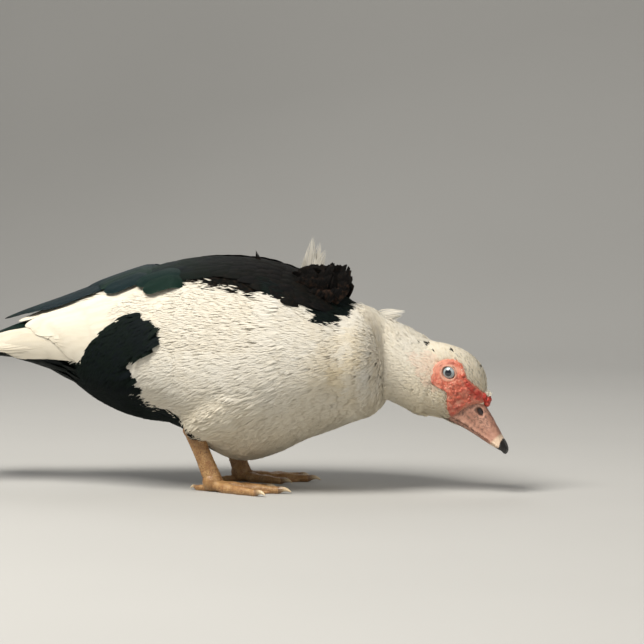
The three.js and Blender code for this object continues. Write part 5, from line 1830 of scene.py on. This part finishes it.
def eyeball(side):
    """Rings of one eyeball, and how far each lies from its axis: a ball whose front swells into
    a clear dome, by its height times the square of one less the square of the angle's share."""
    angle = np.radians(np.linspace(1.2, 178, 64))[:, None]
    turn = np.linspace(0, 2 * np.pi, 72, endpoint=False)[None]
    s = np.clip(angle / math.radians(44), 0, 1)
    radius = EYE_RADIUS + 0.55 * (1 - s**2) ** 2
    across = radius * np.sin(angle)
    out = side * radius * np.cos(angle) + 0 * turn
    local = np.stack([across * np.cos(turn), out, across * np.sin(turn)], axis=-1)
    centre = np.array([EYE_X, side * eye_height(), EYE_Z])
    return from_head(local + centre), EYE_RADIUS * np.sin(np.minimum(angle, np.pi / 2))


def bill_rings(keys, upper, count, columns):
    """Rings of a bill half: one side flat, the other arched as a power of the sine."""
    x = keys[0, 0] + (keys[-1, 0] - keys[0, 0]) * np.sin(np.linspace(0, np.pi / 2, count)) ** 0.9
    row = key_curve(keys, x)
    if upper:
        top, bottom, half = row.T
    else:
        bottom, half = row.T
        top = key_curve(UPPER_BILL, x)[:, 1] - MOUTH_GAP
    angle = np.linspace(0, 2 * np.pi, columns, endpoint=False)[None]
    arch = np.maximum(np.sin(angle), 0) ** BILL_ROUNDNESS
    rise = (top - bottom)[:, None]
    z = bottom[:, None] + rise * arch if upper else top[:, None] - rise * arch
    y = half[:, None] * np.cos(angle)
    return np.stack([np.broadcast_to(x[:, None], y.shape), y, z], axis=-1), arch


def upper_bill():
    """Upper bill with its nostrils, its edge and a fine grain: rings, and the marks."""
    rings, arch = bill_rings(UPPER_BILL, True, 150, 120)
    x, y, z = np.moveaxis(rings, -1, 0)
    turn = math.radians(NOSTRIL["turn"])
    away_x, away_z = x - NOSTRIL["x"], z - NOSTRIL["z"]
    long = away_x * math.cos(turn) - away_z * math.sin(turn)
    high = away_x * math.sin(turn) + away_z * math.cos(turn)
    distance = np.hypot(long / NOSTRIL["long"], high / NOSTRIL["high"])
    hole = ease(1.05, 0.6, distance) * (np.abs(y) > 2)
    lip = np.exp(-(((distance - 1.35) / 0.3) ** 2)) * (np.abs(y) > 2)
    edge = np.exp(-(((arch - 0.1) / 0.08) ** 2)) * ease(14, 22, x)
    groove = np.exp(-(((arch - 0.27) / 0.07) ** 2)) * ease(14, 24, x) * ease(70, 60, x)
    out = unit(np.stack([0 * y, y, 6 * arch + 1e-6 + 0 * y], axis=-1))
    grain = 0.1 * noise_field(rings, 2.2, 61) + 0.16 * noise_field(rings, 7.0, 62)
    out_by = 0.35 * edge - 0.3 * groove + 0.3 * lip + grain * (arch > 0)
    moved = rings + out * out_by[..., None]
    moved[..., 1] -= np.sign(y) * hole * NOSTRIL["deep"]
    return from_head(moved), {"hole": hole, "edge": edge, "along": x, "height": arch}


def build_head(head):
    """Bare face, lids, knob, eyes and bill."""
    face = Shell()
    for side in SIDES.values():
        bare_face(face, side)
        lids(face, side)
    knob(face)
    face.build("bare_face", face_material(head), ("face_right", "face_left", "caruncle_knob"))
    for name, side in SIDES.items():
        eye = Shell()
        rings, rim = eyeball(side)
        add_loft(eye, rings, ring=rim)
        eye.build(f"eyeball_{name}", eye_material(head), (f"eye_{name}",))
    upper = Shell()
    rings, marks = upper_bill()
    add_loft(upper, rings, **marks)
    upper.build("upper_bill", bill_material(head), ("bill_upper", "bill_nail"))
    lower = Shell()
    rings, arch = bill_rings(LOWER_BILL, False, 90, 72)
    add_loft(lower, from_head(rings), hole=0.0, edge=0.0, along=rings[..., 0], height=arch)
    lower.build("lower_bill", bill_material(head), ("bill_lower",))


@painted("Bare face skin")
def face_material(paint, head):
    """Bare skin of the face: coral, redder on the bulbs, pale at the lids, dark in patches."""
    red = paint.mark("red")
    base = paint.mix(red, head.face, head.caruncle)
    mottled = paint.mix(paint.noise(3.2).within(0.42, 0.66) * 0.75, base, head.face_dark)
    light = paint.noise(5.0).within(0.44, 0.68) * (1 - red * 0.75) * 0.85
    pale = paint.mix(light, mottled, head.face_pale)
    pale = paint.mix(paint.mark("faded") * 0.8, pale, head.face_pale)
    colour = paint.mix(paint.mark("ring") * 0.7, pale, head.lid)
    others = {"Coat Weight": 0.12, "Coat Roughness": 0.3, "Subsurface Weight": 0.08}
    return paint.finish(colour, 0.52, others, paint.noise(0.7), 0.12)


@painted("Eye")
def eye_material(paint, head):
    """Eyeball: a dark pupil, a pale iris with a dark rim, and dark skin round it, under gloss."""
    rim = paint.mark("ring")
    iris = paint.mix(paint.noise(0.9).within(0.3, 0.75), head.iris, head.iris_dark)
    ring = paint.mix(rim.within(2.7, 3.05), head.pupil, iris)
    edge = paint.mix(rim.within(4.7, 5.25), ring, head.iris_edge)
    colour = paint.mix(rim.within(5.4, 6.0), edge, head.eye_skin)
    return paint.finish(colour, 0.12, {"Coat Weight": 1.0, "Coat Roughness": 0.03})


@painted("Bill horn")
def bill_material(paint, head):
    """Bill: pink horn with grey-brown mottling on its sides, a pale band, the black nail, and the
    nostrils' dents painted near black as painted shade in their holes.
    """
    along = paint.mark("along")
    base = paint.mix(paint.noise(9.0).within(0.35, 0.7), head.bill, head.bill_pale)
    spots = paint.noise(2.6, 4.0, 0.7).within(0.44, 0.62) * (1 - along.within(44, 60)) * 0.85
    spotted = paint.mix(spots, base, head.bill_dark)
    edged = paint.mix(paint.mark("edge") * 0.8, spotted, head.bill_pale)
    band = paint.mix(along.within(59.5, 62.5), edged, head.bill_band)
    wavy = along + (paint.noise(5.0) - 0.5) * 3.0 - (1 - paint.mark("height")) * 4.0
    nailed = paint.mix(wavy.within(64.3, 65.4), band, head.nail)
    # Painted shade: the nostril's dent takes the near-black colour of the shadow inside the hole.
    colour = paint.mix(paint.mark("hole"), nailed, head.nostril_shade)
    roughness = 0.46 - along.within(64, 66) * 0.16
    return paint.finish(colour, roughness, {"Coat Weight": 0.1}, paint.noise(1.1), 0.1)


# Legs and feet

# Swelling at which a scale neither rises nor sinks, and length of the plates along a toe
SCALE_BASE = 0.6
TOE_PLATE = 2.9


def scale_swell(points, size, seed):
    """How far scales swell, from 0 to 1: the distance from a cell's border, eased by a power."""
    near, second = cell_field(points, size, seed)
    return np.clip((second - near) / 0.45, 0, 1) ** 0.6


def shank_rings(leg):
    """Rings of a shank, from the hock to the ankle, and how far its scales swell."""
    hock = np.array(leg["hock"], float)
    share = np.linspace(SHANK[0, 0], SHANK[-1, 0], 150)
    row = key_curve(SHANK, share)
    path = hock + (np.array(leg["ankle"]) - hock) * share[:, None]
    rings = tube(path, row[:, 0], row[:, 1], 96, (1, 0, 0))
    swell = scale_swell(rings, 2.5, 71 + leg["side"])
    return rings + unit(rings - path[:, None]) * (swell[..., None] - SCALE_BASE) * 0.42, swell


def foot_frame(leg):
    """Matrix and place of a foot's frame under its ankle."""
    return turn_about_z(leg["turn"]), np.array([*leg["ankle"][:2], 0.0])


def toe_way(toe, side):
    """Direction in which a toe points."""
    yaw = math.radians(toe["angle"]) * side
    return np.array([math.cos(yaw), math.sin(yaw), 0.0])


def toe_path(name, side):
    """Middle line and radius of a toe, and the way it points: down from the knuckle, then along
    the floor, thicker at its joints."""
    toe = TOES[name]
    way = toe_way(toe, side)
    r = toe["radius"]
    root, joints = (9.0, 1) if name == "hind" else (7.0, 3)
    keys = np.array([
        [0, root, 1.15 * r],
        [0.2, root + (0.8 * r - root) * 0.75, 1.05 * r],
        [0.42, 0.78 * r, 0.95 * r],
        [0.76, 0.68 * r, 0.82 * r],
        [1, 0.58 * r, 0.6 * r],
    ])
    share = np.linspace(0, 1, 40)
    height, radius = key_curve(keys, share).T
    thicker = 1 + 0.1 * np.cos(share * joints * 2 * np.pi) * ease(0, 0.2, share)
    path = way * (toe["length"] * share)[:, None]
    path[:, 2] = height
    return path, radius * thicker, way


def web_shell(shell, first, second, side):
    """Adds the web between two toes: a thin sheet whose front edge is a shallow inward arc."""
    a, b = (toe_way(toe, side)[:2] * toe["length"] * 0.95 for toe in (TOES[first], TOES[second]))
    t = np.linspace(0, 1, 24)[None, :, None]
    dip = (a + b) * 0.5 * 0.84
    edge = (1 - t) ** 2 * a + 2 * t * (1 - t) * dip + t**2 * b
    s = np.linspace(0.02, 1, 24)[:, None, None]
    flat = edge * s
    middle = np.sin(np.pi * t) * s
    height = WEB_LIFT + WEB_THICK * (1 - 0.35 * middle) + 0.9 * (1 - s) + 0.12 * np.sin(s * 30)
    top = np.concatenate([flat, height], axis=-1)
    low = np.concatenate([flat, 0 * height + 0.25], axis=-1)
    rows, columns = top.shape[:2]
    count = rows * columns
    points = np.concatenate([top.reshape(-1, 3), low.reshape(-1, 3)])
    front = grid_faces(rows, columns, False)
    number = np.arange(count).reshape(rows, columns)
    rim = np.concatenate([number[0], number[1:, -1], number[-1, -2::-1], number[-2:0:-1, 0]])
    after = np.roll(rim, -1)
    walls = halves(np.stack([rim, after, after + count, rim + count], axis=-1))[:, [0, 2, 1]]
    faces = np.concatenate([front, front[:, ::-1] + count, walls])
    shell.add(points, outward(points, faces))


def build_foot(name, leg, legs):
    """Shank, foot and claws of one leg."""
    shank = Shell()
    rings, swell = shank_rings(leg)
    add_loft(shank, rings, scale=swell)
    shank.build(f"shank_scales_{name}", leg_material(legs), (f"shank_{name}",))
    axes, place = foot_frame(leg)
    side = leg["side"]
    foot = Shell()
    for toe in TOES:
        path, radius, way = toe_path(toe, side)
        rings = tube(path, radius, radius, 24)
        end = path[-1] + way * radius[-1] * 0.5 + (rings[-1] - path[-1]) * 0.6
        add_loft(foot, np.concatenate([rings, end[None]]))
    web_shell(foot, "inner", "middle", side)
    web_shell(foot, "middle", "outer", side)
    rise = np.linspace(-1.45, 1.45, 20)[:, None]
    knuckle = ball(rise, np.linspace(0, 2 * np.pi, 32, endpoint=False)[None])
    add_loft(foot, (knuckle * np.array([1, 0.9, 1]) + np.array([0, 0, 1])) * KNUCKLE_RADIUS)
    foot.points = [points @ axes.T + place for points in foot.points]
    mesh = fused(foot, f"foot_scales_{name}", 0.55, 4)
    foot_relief(mesh, leg, axes, place)
    make_piece(f"foot_scales_{name}", mesh, leg_material(legs), (f"foot_{name}",))
    claws = Shell()
    for toe in TOES:
        claw(claws, toe, side, axes, place)
    nodes = [f"claw_{name}_{toe}" for toe in TOES]
    claws.build(f"claws_{name}", claw_material(legs), nodes)


def foot_relief(mesh, leg, axes, place):
    """Swells scales on a fused foot: broad plates across the tops of the toes, small round ones
    elsewhere, and keeps its soles flat on the floor."""
    points = mesh_points(mesh)
    local = (points - place) @ axes
    normal = vectors_of(mesh, "normal")
    best = np.full(len(points), 99.0)
    plates = np.zeros(len(points))
    for toe in TOES.values():
        way = toe_way(toe, leg["side"])
        along = local @ way
        aside = np.abs(local @ np.array([-way[1], way[0], 0.0]))
        better = (aside < best) & (along > -2) & (along < toe["length"] + 3)
        best = np.where(better, aside, best)
        plates = np.where(better, np.abs(np.sin(np.pi * along / TOE_PLATE)) ** 0.45, plates)
    top = ease(0.2, 0.75, normal[:, 2]) * ease(4.2, 2.6, best)
    swell = plates * top + scale_swell(points, 1.9, 77) * (1 - top)
    depth = 0.4 * (1 - 0.6 * ease(4.5, 6.0, best)) * ease(0.3, 1.6, local[:, 2])
    points = points + normal * ((swell - SCALE_BASE) * depth)[:, None]
    z = points[:, 2]
    points[:, 2] = np.maximum(np.where(z < 0.5, 0.02 + 0.1 * np.maximum(z, 0), z), 0.0)
    mesh.vertices.foreach_set("co", row_frame(points).astype(np.float32).ravel())
    write_marks(mesh, {"scale": swell})
    mesh.update()


def claw(shell, name, side, axes, place):
    """Adds a claw: a flattened cone that bends from its toe's end down to the floor."""
    path, radius, way = toe_path(name, side)
    length = CLAW_LENGTH * (0.6 if name == "hind" else 1.0)
    t = np.linspace(-0.12, 1, 34)
    s = np.clip(t, 0, 1)
    r = radius[-1] * 0.9 * (1 - s) ** 0.75 + 0.22
    line = path[-1] + way * (length * t)[:, None]
    line[:, 2] += 1.9 * np.sin(np.pi * s * 0.8) - path[-1][2] * 0.8 * s**2
    line[:, 2] = np.maximum(line[:, 2], r + 0.12)
    add_loft(shell, tube(line, r, r * 0.82, 24) @ axes.T + place, tipness=s[:, None])


@painted("Leg scales")
def leg_material(paint, legs):
    """Scaled skin: ochre plates with darker seams between them and reddish smudges."""
    base = paint.mix(paint.noise(7.0).within(0.35, 0.7), legs.scale, legs.scale_pale)
    smudged = paint.mix(paint.noise(3.0).within(0.52, 0.75) * 0.6, base, legs.scale_dark)
    colour = paint.mix(paint.mark("scale").within(0.05, 0.5), legs.seam, smudged)
    return paint.finish(colour, 0.55, {"Coat Weight": 0.08}, paint.noise(0.6), 0.08)


@painted("Claw horn")
def claw_material(paint, legs):
    """Horn of the claws: dark at the root and pale towards the tip, in fine streaks."""
    tip = paint.mark("tipness") + (paint.noise(1.2) - 0.5) * 0.5
    colour = paint.mix(tip.within(0.1, 0.8), legs.claw_root, legs.claw)
    return paint.finish(colour, 0.35, {"Coat Weight": 0.3}, paint.noise(0.5), 0.05)


# Stage

# Metres: half the floor's width, the start and the radius of its curve up, the wall's top
FLOOR_HALF = 4.0
COVE_START = 1.6
COVE_RADIUS = 1.6
WALL_TOP = 6.0

# Place, size and colour of each light
LIGHTS = {
    "key": ((-0.75, -1.25, 2.15), 1.3, (1.0, 0.955, 0.88)),
    "fill": ((1.6, -1.6, 0.9), 1.6, (1.0, 0.98, 0.95)),
    "rim": ((-0.6, 1.5, 1.6), 1.0, (1.0, 0.98, 0.95)),
}


def build_stage(stage):
    """Pale floor that curves up into a backdrop, soft lights, and the camera."""
    lay_floor(stage)
    aim = Vector(stage.aim)
    for name, (place, size, colour) in LIGHTS.items():
        add_light(name, Vector(place), aim, size, getattr(stage, name), colour)
    world = bpy.data.worlds.new("studio")
    world.use_nodes = True
    background = world.node_tree.nodes["Background"]
    background.inputs["Color"].default_value = (1.0, 0.985, 0.96, 1.0)
    background.inputs["Strength"].default_value = stage.ambient
    bpy.context.scene.world = world
    bpy.context.scene.view_settings.view_transform = "Standard"
    add_camera(stage, aim)


def lay_floor(stage):
    """Lays the floor: flat under the duck, then a quarter circle up, then a wall."""
    turn = np.linspace(0, np.pi / 2, 16)
    run = [-FLOOR_HALF, -1.0, 0.6, *(COVE_START + COVE_RADIUS * np.sin(turn))]
    rise = [0.0, 0.0, 0.0, *(COVE_RADIUS * (1 - np.cos(turn)))]
    run = np.array([*run, run[-1]])
    rise = np.array([*rise, WALL_TOP])
    x, k = np.meshgrid(np.linspace(-FLOOR_HALF, FLOOR_HALF, 9), np.arange(len(run)))
    points = np.stack([x, run[k], rise[k]], axis=-1).reshape(-1, 3)
    faces = grid_faces(*x.shape, False)[:, ::-1]
    mesh = bpy.data.meshes.new("floor")
    mesh.from_pydata(points.tolist(), [], faces.tolist())
    mesh.polygons.foreach_set("use_smooth", np.ones(len(faces), bool))
    mesh.update()
    paint = Paint("Floor paper")
    shaded = [c * 0.94 for c in stage.floor]
    tint = paint.mix(paint.noise(900.0).within(0.3, 0.8), stage.floor, shaded)
    mesh.materials.append(paint.finish(tint, 0.85, {}, paint.noise(4.0), 0.05))
    floor = new_object("floor", mesh)


def face_back(holder, place, back):
    """Places a light or a camera, whose back points away from what it looks at."""
    holder.location = place
    holder.rotation_euler = back.to_track_quat("Z", "Y").to_euler()


def add_camera(stage, aim):
    """Adds the camera, which looks at the aim from its azimuth, elevation and distance."""
    azimuth = math.radians(stage.azimuth)
    elevation = math.radians(stage.elevation)
    level = math.cos(elevation)
    back = Vector((math.sin(azimuth) * level, -math.cos(azimuth) * level, math.sin(elevation)))
    camera = bpy.data.cameras.new("camera")
    camera.lens = stage.lens
    camera.sensor_width = 36.0
    camera.clip_end = 50.0
    bpy.context.scene.camera = new_object("camera", camera)
    face_back(bpy.context.scene.camera, aim + back * stage.distance, back)


def add_light(name, place, aim, size, power, colour):
    """Adds a square soft light that faces the aim."""
    light = bpy.data.lights.new(name, "AREA")
    light.shape = "SQUARE"
    light.size = size
    light.energy = power
    light.color = colour
    face_back(new_object(name, light), place, place - aim)


# Operators

def colour_property(name, description, default):
    """A colour that a user may change."""
    return FloatVectorProperty(
        name=name, description=description, subtype="COLOR", min=0, max=1, default=default,
    )


class DuckLook(bpy.types.PropertyGroup):
    """Colours and sizes of the plumage."""

    white: colour_property("White", "White feathers in the light", (0.80, 0.77, 0.69))
    # The cream also stands for painted shade low on the body, in the neck's crease and on the closed
    # wings.
    cream: colour_property("Cream", "Creamy tinge of the breast", (0.70, 0.60, 0.42))
    black: colour_property("Black", "Dull black feathers", (0.0045, 0.004, 0.0038))
    green: colour_property("Green", "Green gloss of the back", (0.006, 0.020, 0.015))
    # The brown also stands for painted highlight where light shines through the ruffled and curled
    # feathers.
    brown: colour_property("Brown", "Brown of worn dark feathers", linear((0.21, 0.15, 0.115)))
    blue: colour_property("Blue", "Blue gloss of the long feathers", (0.006, 0.016, 0.021))
    pink: colour_property("Pink", "Skin that shows through thin feathers", linear((0.90, 0.68, 0.58)))
    feather_spacing: FloatProperty(
        name="Spacing", description="Millimetres between the body's feathers", default=4.5, min=3, max=12,
    )
    strands: IntProperty(
        name="Strands", description="Strands in the fan of each soft feather", default=7, min=3, max=11,
    )


class DuckHead(bpy.types.PropertyGroup):
    """Colours of the bare face, the eyes and the bill."""

    face: colour_property("Face", "Coral skin of the face", linear((0.76, 0.41, 0.31)))
    face_dark: colour_property("Folds", "Darker red between the bulbs", linear((0.53, 0.23, 0.17)))
    face_pale: colour_property("Pale skin", "Faded pink skin", linear((0.84, 0.57, 0.48)))
    caruncle: colour_property("Caruncles", "Red bulbs beside the forehead", linear((0.74, 0.19, 0.14)))
    lid: colour_property("Lids", "Thin pale rim of the lids", linear((0.80, 0.62, 0.53)))
    iris: colour_property("Iris", "Pale grey blue of the iris", linear((0.62, 0.66, 0.66)))
    iris_dark: colour_property("Iris rays", "Darker rays of the iris", linear((0.45, 0.52, 0.55)))
    iris_edge: colour_property("Iris edge", "Dark rim of the iris", linear((0.20, 0.22, 0.24)))
    pupil: colour_property("Pupil", "Dark pupil", (0.004, 0.005, 0.012))
    eye_skin: colour_property("Eye corner", "Dark skin round the iris", (0.012, 0.008, 0.007))
    bill: colour_property("Bill", "Pink of the bill", linear((0.62, 0.44, 0.37)))
    bill_pale: colour_property("Pale bill", "Paler pink of its edges", linear((0.73, 0.55, 0.47)))
    bill_dark: colour_property("Mottling", "Grey brown mottling", linear((0.42, 0.32, 0.27)))
    bill_band: colour_property("Band", "Pale band behind the nail", linear((0.86, 0.76, 0.66)))
    nail: colour_property("Nail", "Black nail", (0.012, 0.010, 0.009))
    # Painted shade: the nostrils' dents are painted near black for the shadow inside their holes.
    nostril_shade: colour_property("Nostril", "Inside of the nostrils", (0.016, 0.006, 0.005))


class DuckLegs(bpy.types.PropertyGroup):
    """Colours of the legs, feet and claws."""

    scale: colour_property("Scales", "Ochre plates", linear((0.58, 0.43, 0.26)))
    scale_pale: colour_property("Pale scales", "Yellowish plates", linear((0.68, 0.54, 0.36)))
    scale_dark: colour_property("Smudges", "Dark smudges", linear((0.52, 0.32, 0.20)))
    seam: colour_property("Seams", "Skin between the plates", linear((0.43, 0.29, 0.17)))
    claw: colour_property("Claws", "Pale tips of the claws", linear((0.84, 0.76, 0.62)))
    claw_root: colour_property("Claw roots", "Darker roots of the claws", linear((0.50, 0.38, 0.26)))


class DuckStage(bpy.types.PropertyGroup):
    """Floor, lights and camera."""

    azimuth: FloatProperty(name="Azimuth", description="Degrees round to the right", default=12.0)
    elevation: FloatProperty(name="Elevation", description="Degrees up", default=3.0)
    distance: FloatProperty(name="Distance", description="To the aim", default=2.6, unit="LENGTH")
    lens: FloatProperty(name="Lens", description="Focal length in millimetres", default=165.0)
    aim: FloatVectorProperty(
        name="Aim", description="Middle of the picture", subtype="XYZ", default=(0.102, 0.0, 0.147),
    )
    key: FloatProperty(name="Key", description="Power of the key light", default=105.0, unit="POWER")
    fill: FloatProperty(name="Fill", description="Power of the fill light", default=9.0, unit="POWER")
    rim: FloatProperty(name="Rim", description="Power of the light behind", default=9.0, unit="POWER")
    ambient: FloatProperty(name="Ambient", description="Strength of the light all round", default=0.25)
    floor: colour_property("Floor", "Pale paper of the floor", (0.42, 0.42, 0.41))


class DUCK_OT_stage(bpy.types.Operator):
    """Lay the pale floor and set the lights and the camera"""

    bl_idname = "duck.stage"
    bl_label = "Stage"

    def execute(self, context):
        build_stage(context.scene.duck_stage)
        return {"FINISHED"}


class DUCK_OT_skin(bpy.types.Operator):
    """Fuse the skin of body, neck, head and thighs"""

    bl_idname = "duck.skin"
    bl_label = "Skin"

    def execute(self, context):
        build_skin(context.scene.duck_look)
        return {"FINISHED"}


class DUCK_OT_head(bpy.types.Operator):
    """Make the bare face with its caruncles and lids, the eyes and the bill"""

    bl_idname = "duck.head"
    bl_label = "Face, eyes and bill"

    def execute(self, context):
        build_head(context.scene.duck_head)
        return {"FINISHED"}


class DUCK_OT_legs(bpy.types.Operator):
    """Make the scaled shanks, the webbed feet and the claws"""

    bl_idname = "duck.legs"
    bl_label = "Legs and feet"

    def execute(self, context):
        for name, leg in LEGS.items():
            build_foot(name, leg, context.scene.duck_legs)
        return {"FINISHED"}


class DUCK_OT_wings(bpy.types.Operator):
    """Lay the coverts and flight feathers of both closed wings"""

    bl_idname = "duck.wings"
    bl_label = "Wings"

    def execute(self, context):
        wing_feathers(context.scene.duck_look)
        return {"FINISHED"}


class DUCK_OT_back(bpy.types.Operator):
    """Lay the scapulars and the mantle, with its ruffled and blown feathers"""

    bl_idname = "duck.back"
    bl_label = "Back"

    def execute(self, context):
        look = context.scene.duck_look
        back_feathers(look)
        mantle_feathers(look)
        ruffled_feathers(look)
        return {"FINISHED"}


class DUCK_OT_tail(bpy.types.Operator):
    """Lay the tail and its coverts"""

    bl_idname = "duck.tail"
    bl_label = "Tail"

    def execute(self, context):
        tail_feathers(context.scene.duck_look)
        return {"FINISHED"}


class DUCK_OT_body_coat(bpy.types.Operator):
    """Grow the feathers of breast, flanks, belly, rear and thighs"""

    bl_idname = "duck.body_coat"
    bl_label = "Body feathers"

    def execute(self, context):
        look = context.scene.duck_look
        body_coats(look)
        thigh_coats(look)
        return {"FINISHED"}


class DUCK_OT_head_coat(bpy.types.Operator):
    """Grow the feathers of neck and head"""

    bl_idname = "duck.head_coat"
    bl_label = "Neck and head feathers"

    def execute(self, context):
        look = context.scene.duck_look
        neck_coats(look)
        head_coats(look)
        return {"FINISHED"}


STEPS = ("stage", "skin", "head", "legs", "wings", "back", "tail", "body_coat", "head_coat")


class DUCK_PT_build(bpy.types.Panel):
    """Lists the duck's settings and the steps that build it"""

    bl_idname = "DUCK_PT_build"
    bl_label = "Muscovy duck"
    bl_space_type = "VIEW_3D"
    bl_region_type = "UI"
    bl_category = "Duck"

    def draw(self, context):
        scene = context.scene
        for settings in (scene.duck_look, scene.duck_head, scene.duck_legs, scene.duck_stage):
            box = self.layout.box()
            for name in settings.__annotations__:
                box.prop(settings, name)
        for step in STEPS:
            self.layout.operator(f"duck.{step}")


CLASSES = (
    DuckLook, DuckHead, DuckLegs, DuckStage,
    DUCK_OT_stage, DUCK_OT_skin, DUCK_OT_head, DUCK_OT_legs, DUCK_OT_wings, DUCK_OT_back, DUCK_OT_tail,
    DUCK_OT_body_coat, DUCK_OT_head_coat, DUCK_PT_build,
)
SETTINGS = {"duck_look": DuckLook, "duck_head": DuckHead, "duck_legs": DuckLegs, "duck_stage": DuckStage}


def register():
    """Registers the classes and hangs the settings on the scene."""
    for item in CLASSES:
        bpy.utils.register_class(item)
    for name, kind in SETTINGS.items():
        setattr(bpy.types.Scene, name, PointerProperty(type=kind))


def unregister():
    """Takes the settings and the classes away again."""
    for name in SETTINGS:
        delattr(bpy.types.Scene, name)
    for item in reversed(CLASSES):
        bpy.utils.unregister_class(item)


def main():
    """Builds everything in order."""
    register()
    for step in STEPS:
        getattr(bpy.ops.duck, step)()


if __name__ == "__main__":
    main()
